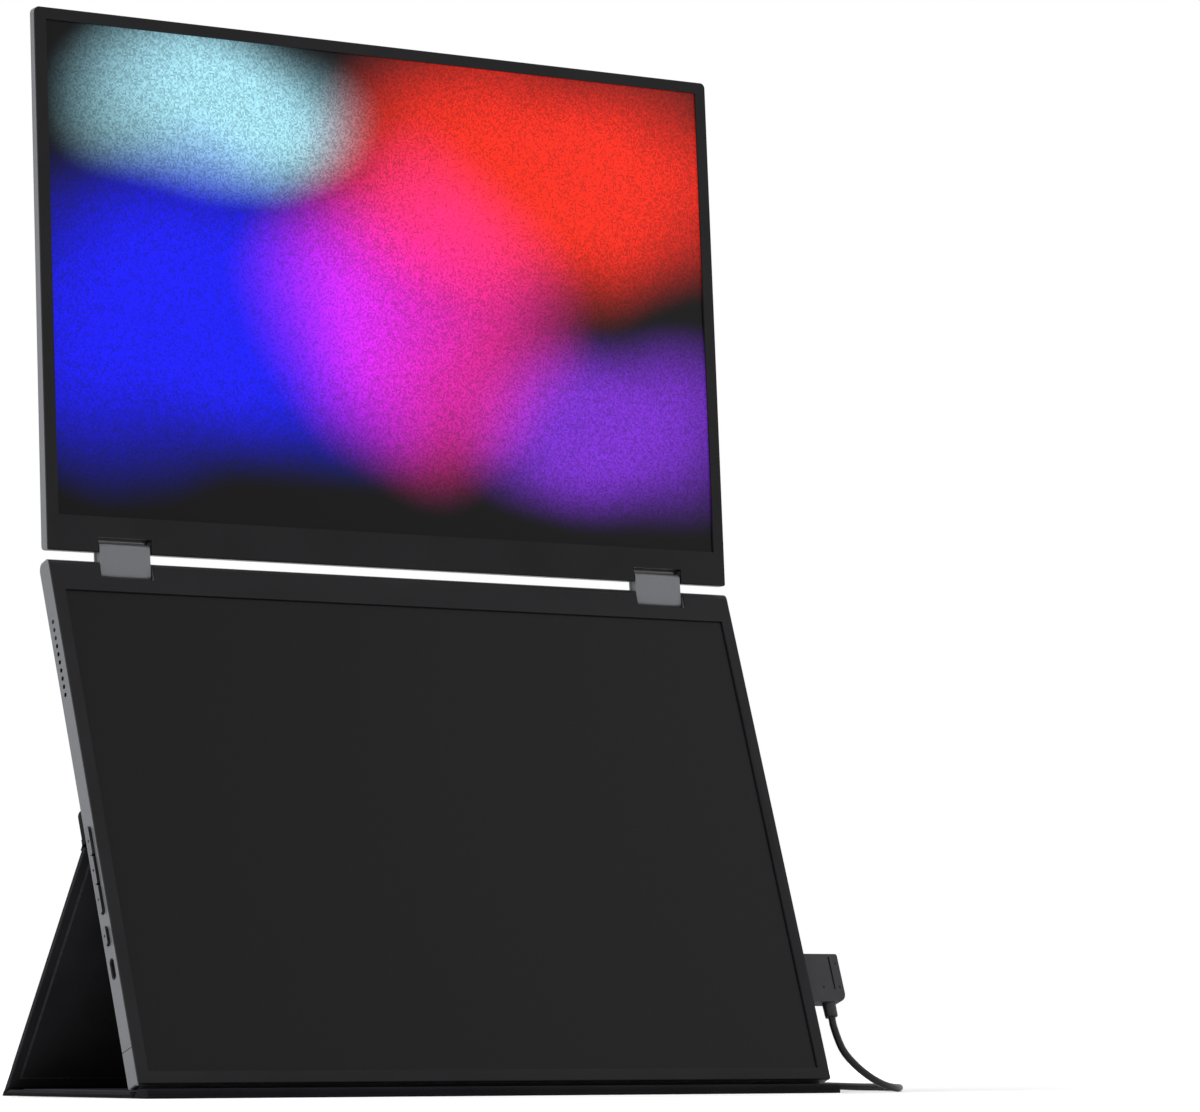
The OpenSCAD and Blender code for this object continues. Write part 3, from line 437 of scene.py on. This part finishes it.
painted_shade_colour = node(anodised, "ShaderNodeMix", {"data_type": "RGBA"}, {7: srgb("#060607")},
    {0: painted_shade_mask.outputs["Value"], 6: tint.outputs["Color"]})
metal = node(anodised, "ShaderNodeMath", {"operation": "MULTIPLY_ADD"}, {1: -0.5, 2: 0.5},
    {0: painted_shade_mask.outputs["Value"]})
anodised.node_tree.links.new(painted_shade_colour.outputs[2], shader.inputs["Base Color"])
anodised.node_tree.links.new(metal.outputs["Value"], shader.inputs["Metallic"])
for name in ("upper_back_shell", "lower_back_shell", "bottom_end_cap"):
    dress(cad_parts[name], anodised)
    soften(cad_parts[name], width=0.00012)

# keys: each faced with a thin anodised cap that a dot is sunk through; below the cap the key is painted
# near black, painted shade for the keys' shaded sides
key_outside = min(v.co.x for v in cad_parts["key_power"].data.vertices)
face_depth = 0.00008
key_cap_painted_shade, shader = new_material("key_cap_painted_shade")
place = node(key_cap_painted_shade, "ShaderNodeTexCoord")
across = node(key_cap_painted_shade, "ShaderNodeSeparateXYZ", links={"Vector": place.outputs["Object"]})
cap = node(key_cap_painted_shade, "ShaderNodeMath", {"operation": "LESS_THAN"}, {1: key_outside + face_depth},
    {0: across.outputs["X"]})
blast = node(key_cap_painted_shade, "ShaderNodeTexNoise", sockets={"Scale": 2600.0, "Detail": 2.0},
    links={"Vector": place.outputs["Object"]})
metal = node(key_cap_painted_shade, "ShaderNodeValToRGB", links={"Fac": blast.outputs["Fac"]})
metal.color_ramp.elements[0].color = srgb("#5e5f62")
metal.color_ramp.elements[1].color = srgb("#6c6d71")
tint = node(key_cap_painted_shade, "ShaderNodeMix", {"data_type": "RGBA"}, {6: srgb("#0c0c0d")},
    {0: cap.outputs["Value"], 7: metal.outputs["Color"]})
sheen = node(key_cap_painted_shade, "ShaderNodeMath", {"operation": "MULTIPLY"}, {1: 0.5}, {0: cap.outputs["Value"]})
key_cap_painted_shade.node_tree.links.new(tint.outputs[2], shader.inputs["Base Color"])
key_cap_painted_shade.node_tree.links.new(sheen.outputs["Value"], shader.inputs["Metallic"])
shader.inputs["Roughness"].default_value = 0.46
shader.inputs["Specular IOR Level"].default_value = 0.3
for name in ("key_up", "key_menu", "key_down", "key_power"):
    dress(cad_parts[name], key_cap_painted_shade)
    soften(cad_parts[name], width=0.00005)

# ---------------------------------------------------------------- bezels and displays
# Front bezels are moulded PC/ABS. Both panels have an anti-glare front film. The upper
# display is lit and shows a plain colour gradient, the lower one is off.

# PC/ABS from a spark-eroded tool: black and matt, its texture 0.3 mm drawn at 0.7 mm
bezel_plastic, shader = new_material("textured_pc_abs")
place = node(bezel_plastic, "ShaderNodeTexCoord")
spark = node(bezel_plastic, "ShaderNodeTexVoronoi", sockets={"Scale": 1500.0},
    links={"Vector": place.outputs["Object"]})
cloudy = node(bezel_plastic, "ShaderNodeTexNoise", sockets={"Scale": 25.0, "Detail": 3.0},
    links={"Vector": place.outputs["Object"]})
tint = node(bezel_plastic, "ShaderNodeValToRGB", links={"Fac": cloudy.outputs["Fac"]})
tint.color_ramp.elements[0].position = 0.3
tint.color_ramp.elements[0].color = srgb("#19191b")
tint.color_ramp.elements[1].position = 0.7
tint.color_ramp.elements[1].color = srgb("#1f1f21")
bump = node(bezel_plastic, "ShaderNodeBump", sockets={"Strength": 0.15, "Distance": 0.00005},
    links={"Height": spark.outputs["Distance"]})
bezel_plastic.node_tree.links.new(tint.outputs["Color"], shader.inputs["Base Color"])
bezel_plastic.node_tree.links.new(bump.outputs["Normal"], shader.inputs["Normal"])
shader.inputs["Roughness"].default_value = 0.5
shader.inputs["Specular IOR Level"].default_value = 0.1
for name in ("upper_bezel", "lower_bezel"):
    dress(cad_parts[name], bezel_plastic)
    soften(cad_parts[name], width=0.00015)

# a dark display: the film's haze shows as a soft, slightly grainy sheen
dark_display, shader = new_material("display_off")
place = node(dark_display, "ShaderNodeTexCoord")
haze = node(dark_display, "ShaderNodeTexNoise", sockets={"Scale": 1800.0, "Detail": 2.0},
    links={"Vector": place.outputs["Object"]})
tint = node(dark_display, "ShaderNodeValToRGB", links={"Fac": haze.outputs["Fac"]})
tint.color_ramp.elements[0].position = 0.3
tint.color_ramp.elements[0].color = srgb("#070709")
tint.color_ramp.elements[1].position = 0.7
tint.color_ramp.elements[1].color = srgb("#0c0c0f")
dark_display.node_tree.links.new(tint.outputs["Color"], shader.inputs["Base Color"])
shader.inputs["Roughness"].default_value = 0.34
shader.inputs["Specular IOR Level"].default_value = 0.1
dress(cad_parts["lower_display"], dark_display)

# a lit display: soft patches of colour over black, in a layout of its own, bent a little
# out of round, with the pixel grain that a camera sees
bend_size = 0.05
display_y = 0.04
lit_display, shader = new_material("display_lit")
place = node(lit_display, "ShaderNodeTexCoord")
wobble = node(lit_display, "ShaderNodeTexNoise", sockets={"Scale": 9.0, "Detail": 1.0},
    links={"Vector": place.outputs["Object"]})
bend = node(lit_display, "ShaderNodeVectorMath", {"operation": "MULTIPLY_ADD"},
    {1: (bend_size, 0.0, bend_size)}, {0: wobble.outputs["Color"], 2: place.outputs["Object"]})
picture = None
for middle_x, middle_z, half_width, half_height, colour in (
    (-0.10, 0.335, 0.16, 0.085, "#1212ff"),
    (0.09, 0.415, 0.15, 0.075, "#ff2a12"),
    (0.015, 0.345, 0.10, 0.085, "#e01c92"),
    (-0.085, 0.425, 0.09, 0.045, "#a8e4f4"),
    (0.12, 0.30, 0.10, 0.05, "#7a2ad0"),
):
    # one patch: even in its middle, fading out softly to its rim; the bend moves all the
    # patches by half its size, which is taken back here
    centred = node(lit_display, "ShaderNodeMapping", {"vector_type": "TEXTURE"},
        {"Location": (middle_x + bend_size / 2, display_y, middle_z + bend_size / 2),
            "Scale": (half_width, 1.0, half_height)},
        {"Vector": bend.outputs["Vector"]})
    patch = node(lit_display, "ShaderNodeTexGradient", {"gradient_type": "SPHERICAL"},
        links={"Vector": centred.outputs["Vector"]})
    soft = node(lit_display, "ShaderNodeMapRange", {"interpolation_type": "SMOOTHSTEP"},
        {"From Max": 0.75}, {"Value": patch.outputs["Fac"]})
    tinted = node(lit_display, "ShaderNodeVectorMath", {"operation": "SCALE"}, {0: srgb(colour)[:3]},
        {"Scale": soft.outputs["Result"]})
    if picture is None:
        picture = tinted
    else:
        picture = node(lit_display, "ShaderNodeVectorMath", {"operation": "ADD"},
            links={0: picture.outputs["Vector"], 1: tinted.outputs["Vector"]})
# the grain is that of pixels 0.2 mm apart, drawn at 0.7 mm to show
pixel = 0.0007
squares = node(lit_display, "ShaderNodeVectorMath", {"operation": "SNAP"}, {1: (pixel, 0.1, pixel)},
    {0: place.outputs["Object"]})
grain = node(lit_display, "ShaderNodeTexWhiteNoise", links={"Vector": squares.outputs["Vector"]})
level = node(lit_display, "ShaderNodeMapRange", sockets={"To Min": 0.62, "To Max": 1.25},
    links={"Value": grain.outputs["Value"]})
grained = node(lit_display, "ShaderNodeVectorMath", {"operation": "SCALE"},
    links={0: picture.outputs["Vector"], "Scale": level.outputs["Result"]})
lit_display.node_tree.links.new(grained.outputs["Vector"], shader.inputs["Emission Color"])
shader.inputs["Emission Strength"].default_value = 1.0
shader.inputs["Base Color"].default_value = srgb("#070709")
shader.inputs["Roughness"].default_value = 0.34
shader.inputs["Specular IOR Level"].default_value = 0.1
dress(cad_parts["upper_display"], lit_display)

# ---------------------------------------------------------------- hinges
# The links are milled from the housings' aluminium and anodised with them. The leaves and
# shafts are steel with a dark grey coating, and the screws are bright.

# coated steel: dull dark grey over milling lines 0.6 mm apart
coated_steel, shader = new_material("coated_hinge_steel")
place = node(coated_steel, "ShaderNodeTexCoord")
mill = node(coated_steel, "ShaderNodeMapping", sockets={"Scale": (40.0, 1600.0, 1600.0)},
    links={"Vector": place.outputs["Object"]})
lines = node(coated_steel, "ShaderNodeTexNoise", sockets={"Scale": 1.0, "Detail": 3.0},
    links={"Vector": mill.outputs["Vector"]})
tint = node(coated_steel, "ShaderNodeValToRGB", links={"Fac": lines.outputs["Fac"]})
tint.color_ramp.elements[0].position = 0.3
tint.color_ramp.elements[0].color = srgb("#2c2c2e")
tint.color_ramp.elements[1].position = 0.7
tint.color_ramp.elements[1].color = srgb("#363639")
bump = node(coated_steel, "ShaderNodeBump", sockets={"Strength": 0.15, "Distance": 0.0001},
    links={"Height": lines.outputs["Fac"]})
coated_steel.node_tree.links.new(tint.outputs["Color"], shader.inputs["Base Color"])
coated_steel.node_tree.links.new(bump.outputs["Normal"], shader.inputs["Normal"])
shader.inputs["Metallic"].default_value = 0.6
shader.inputs["Roughness"].default_value = 0.45
link_metal = aluminium("anodised_link")[0]
dress(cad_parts["hinge_links"], link_metal)
soften(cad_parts["hinge_links"], width=0.0002)
for name in (
    "upper_hinge_leaves", "lower_hinge_leaves", "upper_hinge_shafts", "lower_hinge_shafts",
    "back_keeper_plates",
):
    dress(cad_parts[name], coated_steel)
    soften(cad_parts[name], width=0.0001)
for name in ("upper_hinge_screws", "lower_hinge_screws", "clip_magnets"):
    dress(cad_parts[name], drawn_steel)
    soften(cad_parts[name], width=0.00008)

# ---------------------------------------------------------------- inside the housings
# Circuit boards: glass-epoxy with green solder mask over a grid of copper tracks 1 mm
# apart, which shows through the mask as paler green. The speaker boxes are black ABS.
solder_mask, shader = new_material("solder_mask")
place = node(solder_mask, "ShaderNodeTexCoord")
tracks = node(solder_mask, "ShaderNodeTexBrick",
    sockets={"Scale": 260.0, "Mortar Size": 0.03, "Color1": srgb("#1d4a35"), "Color2": srgb("#20523a"),
        "Mortar": srgb("#2c6a4c")},
    links={"Vector": place.outputs["Object"]})
solder_mask.node_tree.links.new(tracks.outputs["Color"], shader.inputs["Base Color"])
shader.inputs["Roughness"].default_value = 0.35
for name in ("main_board", "upper_driver_board", "switch_board"):
    dress(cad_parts[name], solder_mask)
for name in ("speaker_left", "speaker_right"):
    dress(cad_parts[name], bezel_plastic)
    soften(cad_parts[name], width=0.0003)

# ---------------------------------------------------------------- cover
# A folding cover: pressed leatherette on both faces of stiff boards, thinner in a margin
# round each board, and folded along straight lines. A strip at its top holds on the
# unit's back by magnets, and the unit stands in the groove at its front.

# PU leatherette: embossed pebbles 0.7 mm across, drawn at 1.5 mm to show; soft low sheen
leatherette, shader = new_material("pu_leatherette")
place = node(leatherette, "ShaderNodeTexCoord")
pebbles = node(leatherette, "ShaderNodeTexVoronoi", {"feature": "DISTANCE_TO_EDGE"}, {"Scale": 650.0},
    {"Vector": place.outputs["Object"]})
creases = node(leatherette, "ShaderNodeMapRange", sockets={"From Max": 0.12},
    links={"Value": pebbles.outputs["Distance"]})
cloudy = node(leatherette, "ShaderNodeTexNoise", sockets={"Scale": 22.0, "Detail": 4.0},
    links={"Vector": place.outputs["Object"]})
mixed = node(leatherette, "ShaderNodeMath", {"operation": "MULTIPLY_ADD"}, {1: 0.35},
    {0: creases.outputs["Result"], 2: cloudy.outputs["Fac"]})
tint = node(leatherette, "ShaderNodeValToRGB", links={"Fac": mixed.outputs["Value"]})
tint.color_ramp.elements[0].position = 0.4
tint.color_ramp.elements[0].color = srgb("#121214")
tint.color_ramp.elements[1].position = 1.0
tint.color_ramp.elements[1].color = srgb("#1c1c1e")
bump = node(leatherette, "ShaderNodeBump", sockets={"Strength": 0.35, "Distance": 0.00025},
    links={"Height": creases.outputs["Result"]})
leatherette.node_tree.links.new(tint.outputs["Color"], shader.inputs["Base Color"])
leatherette.node_tree.links.new(bump.outputs["Normal"], shader.inputs["Normal"])
shader.inputs["Roughness"].default_value = 0.7
shader.inputs["Specular IOR Level"].default_value = 0.03

# lining: brushed microfibre, its nap 0.4 mm drawn at 0.8 mm; matt, a shade lighter than
# the leatherette
microfibre, shader = new_material("brushed_microfibre")
place = node(microfibre, "ShaderNodeTexCoord")
nap = node(microfibre, "ShaderNodeTexNoise", sockets={"Scale": 1200.0, "Detail": 4.0, "Roughness": 0.7},
    links={"Vector": place.outputs["Object"]})
brushed = node(microfibre, "ShaderNodeTexNoise", sockets={"Scale": 30.0, "Detail": 3.0},
    links={"Vector": place.outputs["Object"]})
mixed = node(microfibre, "ShaderNodeMath", {"operation": "MULTIPLY_ADD"}, {1: 0.5},
    {0: nap.outputs["Fac"], 2: brushed.outputs["Fac"]})
tint = node(microfibre, "ShaderNodeValToRGB", links={"Fac": mixed.outputs["Value"]})
tint.color_ramp.elements[0].position = 0.45
tint.color_ramp.elements[0].color = srgb("#212123")
tint.color_ramp.elements[1].position = 1.0
tint.color_ramp.elements[1].color = srgb("#2d2d30")
bump = node(microfibre, "ShaderNodeBump", sockets={"Strength": 0.4, "Distance": 0.0002},
    links={"Height": nap.outputs["Fac"]})
microfibre.node_tree.links.new(tint.outputs["Color"], shader.inputs["Base Color"])
microfibre.node_tree.links.new(bump.outputs["Normal"], shader.inputs["Normal"])
shader.inputs["Roughness"].default_value = 0.9
shader.inputs["Specular IOR Level"].default_value = 0.03
shader.inputs["Sheen Weight"].default_value = 0.02

# pressed leatherette or lining: the step where a board's face steps down to its margin is
# painted paler, a painted highlight for the light that the step's edge catches
crease_painted_highlight, shader = new_material("painted_crease_highlight")
place = node(crease_painted_highlight, "ShaderNodeTexCoord")
crease_mottle = node(crease_painted_highlight, "ShaderNodeTexNoise", sockets={"Scale": 700.0, "Detail": 3.0},
    links={"Vector": place.outputs["Object"]})
tint = node(crease_painted_highlight, "ShaderNodeValToRGB", links={"Fac": crease_mottle.outputs["Fac"]})
tint.color_ramp.elements[0].position = 0.3
tint.color_ramp.elements[0].color = srgb("#2e2e31")
tint.color_ramp.elements[1].position = 0.7
tint.color_ramp.elements[1].color = srgb("#404044")
crease_painted_highlight.node_tree.links.new(tint.outputs["Color"], shader.inputs["Base Color"])
shader.inputs["Roughness"].default_value = 0.6
shader.inputs["Specular IOR Level"].default_value = 0.3

# the panels lie between the three fold lines; each is made flat, with s along it from its
# fold and t through its thickness, and then put in its place
cover_width = 355.8
half_panel = 1.5
panel_thickness = 3.0
strip_thickness = 3.3
unit_thickness = 8.9
strip_fold = 109.1
fold_gap = 0.15
strut_lean = math.radians(32.6315)
rear_fold = Vector((0.65, 61.1049, 0))
front_fold = Vector((0.65, -49.1049, 0))
top_fold = Vector((0.65, -5.97585, 104.764))
upright = Matrix.Rotation(math.pi / 2, 4, "X")
strut_place = Matrix.Translation(rear_fold) @ Matrix.Rotation(strut_lean, 4, "X") @ upright
floor_place = Matrix.Translation(rear_fold) @ Matrix.Scale(-1, 4, (0, 1, 0))
lip_place = Matrix.Translation(front_fold) @ Matrix.Scale(-1, 4, (0, 1, 0))
clip_place = lower_place @ Matrix.Translation((0, unit_thickness + strip_thickness, strip_fold)) @ upright


def pressed_sheet(name, placed, near, far, low, high, show_low):
    """Half of a panel, from t low to t high. near and far give its ends, as (s, t) lines:
    s at t = 0 and how much s gains per mm of t. The shown face is pressed down in a margin,
    with a narrow step between."""
    margin = 4.0
    step_width = 1.0
    drop = 0.35
    edge_round = 0.5
    sheet = bmesh.new()
    bmesh.ops.create_cube(sheet, size=1)
    for v in sheet.verts:
        t = high if v.co.z > 0 else low
        s = far[0] + far[1] * t if v.co.y > 0 else near[0] + near[1] * t
        v.co = (v.co.x * cover_width, s, t)
    middle = (low + high) / 2
    flat = [f for f in sheet.faces if abs(f.normal.z) > 0.9]
    shown = [f for f in flat if (f.calc_center_median().z < middle) == show_low]
    level = shown[0].verts[0].co.z
    bmesh.ops.inset_region(sheet, faces=shown, thickness=margin, use_even_offset=True)
    step = bmesh.ops.inset_region(sheet, faces=shown, thickness=step_width, use_even_offset=True)
    raised = shown[0].verts[:]
    pressed = [v for v in sheet.verts if abs(v.co.z - level) < 0.01 and v not in raised]
    rim = [v for v in pressed if abs(v.co.x) > cover_width / 2 - 0.01]
    bmesh.ops.translate(sheet, vec=(0, 0, drop if show_low else -drop), verts=pressed)
    # the step's faces take the second material, the painted highlight
    for face in step["faces"]:
        face.material_index = 1
    bmesh.ops.bevel(sheet, geom=rim + [e for e in sheet.edges if all(v in rim for v in e.verts)],
        offset=edge_round, segments=3, profile=0.5, affect="EDGES", material=-1)
    bmesh.ops.transform(sheet, matrix=placed, verts=sheet.verts)
    bmesh.ops.recalc_face_normals(sheet, faces=sheet.faces)
    made = object_from(sheet, name)
    made.data.materials.append(leatherette if show_low else microfibre)
    made.data.materials.append(crease_painted_highlight)
    return made


# strut and floor panel: leatherette outside, lining inside, mitred where they meet at the
# rear fold; the floor panel's front end slopes as the wall of the groove
mitre = 6.032 / panel_thickness
strut_ends = ((fold_gap, mitre), (124.25, 0))
floor_ends = ((fold_gap, mitre), (110.06, -1.1))
outer_half = (0, half_panel)
inner_half = (half_panel, panel_thickness)
for name, placed, ends, half, show_low, body, stands_for in (
    ("strut_leather", strut_place, strut_ends, outer_half, True, "strut", "strut_skin"),
    ("strut_lining_leather", strut_place, strut_ends, inner_half, False, "strut", "strut_lining"),
    ("floor_leather", floor_place, floor_ends, outer_half, True, "floor_panel", "floor_skin"),
    ("floor_lining_leather", floor_place, floor_ends, inner_half, False, "floor_panel", "floor_lining"),
):
    panel = pressed_sheet(name, placed, *ends, *half, show_low)
    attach(panel, body)
    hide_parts(stands_for)

# lip: one padded bar, its rear face the front wall of the groove
bar = bmesh.new()
rows = [(fold_gap, 0), (12.0, 0), (12.0, 2.6), (11.6, 3.5), (10.8, 4.0), (4.2, 4.0)]
ring = [bar.verts.new((-cover_width / 2, s, t)) for s, t in rows]
end = bar.faces.new(ring)
grown = bmesh.ops.extrude_face_region(bar, geom=[end])
bmesh.ops.translate(bar, vec=(cover_width, 0, 0),
    verts=[v for v in grown["geom"] if isinstance(v, bmesh.types.BMVert)])
bmesh.ops.bevel(bar, geom=bar.edges[:], offset=0.3, segments=3, profile=0.5, affect="EDGES", material=-1)
bmesh.ops.transform(bar, matrix=lip_place, verts=bar.verts)
bmesh.ops.recalc_face_normals(bar, faces=bar.faces)
lip = object_from(bar, "lip_leather")
dress(lip, leatherette)
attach(lip, "lip")
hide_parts("lip_skin", "lip_lining")

# strip on the unit's back: its upper corners are rounded, and its outer face steps down to
# a pressed margin
strip_height = 15.95
strip_margin = 2.2
strip_drop = 0.3
corner_radius = 4
strip = bmesh.new()
bmesh.ops.create_cube(strip, size=1)
for v in strip.verts:
    s = fold_gap + (v.co.y + 0.5) * strip_height
    v.co = (v.co.x * cover_width, s, (v.co.z + 0.5) * strip_thickness)
upper = [e for e in strip.edges if all(v.co.y > 10 for v in e.verts)]
corners = [e for e in upper if abs(e.verts[0].co.z - e.verts[1].co.z) > 1]
bmesh.ops.bevel(strip, geom=corners, offset=corner_radius, segments=8, profile=0.5, affect="EDGES",
    material=-1)
outer = [f for f in strip.faces if f.normal.z < -0.9]
bmesh.ops.inset_region(strip, faces=outer, thickness=strip_margin, depth=0)
margin_verts = [
    v for v in strip.verts
    if v.co.z < 0.01 and not all(f in outer or f.normal.z < -0.5 for f in v.link_faces)
]
bmesh.ops.translate(strip, vec=(0, 0, strip_drop), verts=margin_verts)
bmesh.ops.transform(strip, matrix=clip_place, verts=strip.verts)
bmesh.ops.recalc_face_normals(strip, faces=strip.faces)
clip = object_from(strip, "magnetic_strip")
dress(clip, leatherette)
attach(clip, "lower_unit")
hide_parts("clip_skin", "clip_lining")
for name in ("strut_board", "floor_board", "lip_board"):
    dress(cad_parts[name], leatherette)

# folds: the outer leatherette runs on over each fold as a thin web; before and after are
# the ways that lead from the fold along the two panels it joins
web_reach = 2.6
web_turn = 0.9
web_steps = 6
web_inset = 0.2
web_thickness = 0.5
up_unit = Vector((0, math.sin(lean), math.cos(lean)))
down_strut = Vector((0, math.sin(strut_lean), -math.cos(strut_lean)))
up_strut = Vector((0, -math.sin(strut_lean), math.cos(strut_lean)))
backward = Vector((0, 1, 0))
forward = Vector((0, -1, 0))
for name, fold, before, after, body_a, body_b in (
    ("top_fold_web", top_fold, up_unit, down_strut, "lower_unit", "strut"),
    ("rear_fold_web", rear_fold, up_strut, forward, "strut", "floor_panel"),
    ("front_fold_web", front_fold, backward, forward, "floor_panel", "lip"),
):
    web = bmesh.new()
    path = [fold + before * web_reach]
    for k in range(web_steps + 1):
        t = k / web_steps
        path.append(fold + before * web_turn * (1 - t) ** 2 + after * web_turn * t**2)
    path.append(fold + after * web_reach)
    row = [web.verts.new(at - Vector((cover_width / 2 - web_inset, 0, 0))) for at in path]
    strips = [web.edges.new((a, b)) for a, b in zip(row, row[1:])]
    grown = bmesh.ops.extrude_edge_only(web, edges=strips)
    bmesh.ops.translate(web, vec=(cover_width - 2 * web_inset, 0, 0),
        verts=[v for v in grown["geom"] if isinstance(v, bmesh.types.BMVert)])
    bmesh.ops.recalc_face_normals(web, faces=web.faces)
    bmesh.ops.solidify(web, geom=web.faces[:], thickness=web_thickness)
    made = object_from(web, name)
    dress(made, leatherette)
    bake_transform(made)

# ---------------------------------------------------------------- studio
# A pale floor, pale surroundings and soft light from large lamps.
floor_half = 1500
floor_level = -0.06
floor_mesh = bmesh.new()
bmesh.ops.create_grid(floor_mesh, x_segments=1, y_segments=1, size=floor_half)
bmesh.ops.translate(floor_mesh, vec=(0, 0, floor_level), verts=floor_mesh.verts)
floor = object_from(floor_mesh, "studio_floor")


def looked_at(owner):
    """Gives 1 where a thing is looked at: by the camera, in a mirror or through glass."""
    rays = node(owner, "ShaderNodeLightPath")
    straight = node(owner, "ShaderNodeMath", {"operation": "MAXIMUM"},
        links={0: rays.outputs["Is Camera Ray"], 1: rays.outputs["Is Glossy Ray"]})
    return node(owner, "ShaderNodeMath", {"operation": "MAXIMUM"},
        links={0: straight.outputs["Value"], 1: rays.outputs["Is Transmission Ray"]})


# painted board: matt white with a faint unevenness
pale, shader = new_material("pale_floor")
place = node(pale, "ShaderNodeTexCoord")
speck = node(pale, "ShaderNodeTexNoise", sockets={"Scale": 3.0}, links={"Vector": place.outputs["Object"]})
tint = node(pale, "ShaderNodeValToRGB", links={"Fac": speck.outputs["Fac"]})
tint.color_ramp.elements[0].color = srgb("#f2f2f1")
tint.color_ramp.elements[1].color = srgb("#f6f6f5")
pale.node_tree.links.new(tint.outputs["Color"], shader.inputs["Base Color"])
shader.inputs["Roughness"].default_value = 0.9
shader.inputs["Specular IOR Level"].default_value = 0.0
# where it is looked at, a little light of its own takes it to the white of the backdrop,
# more of it farther out; the object's shadow stays
away = node(pale, "ShaderNodeVectorMath", {"operation": "LENGTH"}, links={0: place.outputs["Object"]})
own = node(pale, "ShaderNodeMapRange", {"interpolation_type": "SMOOTHSTEP"},
    {"From Min": 0.3, "From Max": 1.1, "To Min": 0.12, "To Max": 0.7}, {"Value": away.outputs["Value"]})
lift = node(pale, "ShaderNodeMath", {"operation": "MULTIPLY"},
    links={0: looked_at(pale).outputs["Value"], 1: own.outputs["Result"]})
shader.inputs["Emission Color"].default_value = srgb("#ffffff")
pale.node_tree.links.new(lift.outputs["Value"], shader.inputs["Emission Strength"])
dress(floor, pale)

# the surroundings are white where they are looked at, and light the object more softly
world = bpy.data.worlds.new("studio")
bpy.context.scene.world = world
world.use_nodes = True
sky = world.node_tree.nodes["Background"]
strength = node(world, "ShaderNodeMapRange", sockets={"To Min": 0.36, "To Max": 1.0},
    links={"Value": looked_at(world).outputs["Value"]})
world.node_tree.links.new(strength.outputs["Result"], sky.inputs["Strength"])
sky.inputs["Color"].default_value = srgb("#ffffff")

# three large lamps, from the left, from the right in front and from above, all turned to
# the object's middle
object_middle = Vector((0, 0, 0.2))
for name, at, power, size in (
    ("key", (-2.2, -0.1, 1.3), 40, 1.2),
    ("fill", (1.8, -1.6, 1.4), 8, 1.6),
    ("top", (0.0, 0.3, 2.6), 34, 1.8),
):
    lamp = bpy.data.lights.new(name, "AREA")
    lamp.energy = power
    lamp.size = size
    lit = bpy.data.objects.new(name, lamp)
    bpy.context.collection.objects.link(lit)
    lit.location = at
    lit.rotation_euler = (object_middle - Vector(at)).to_track_quat("-Z", "Y").to_euler()
bpy.context.scene.view_settings.view_transform = "Standard"
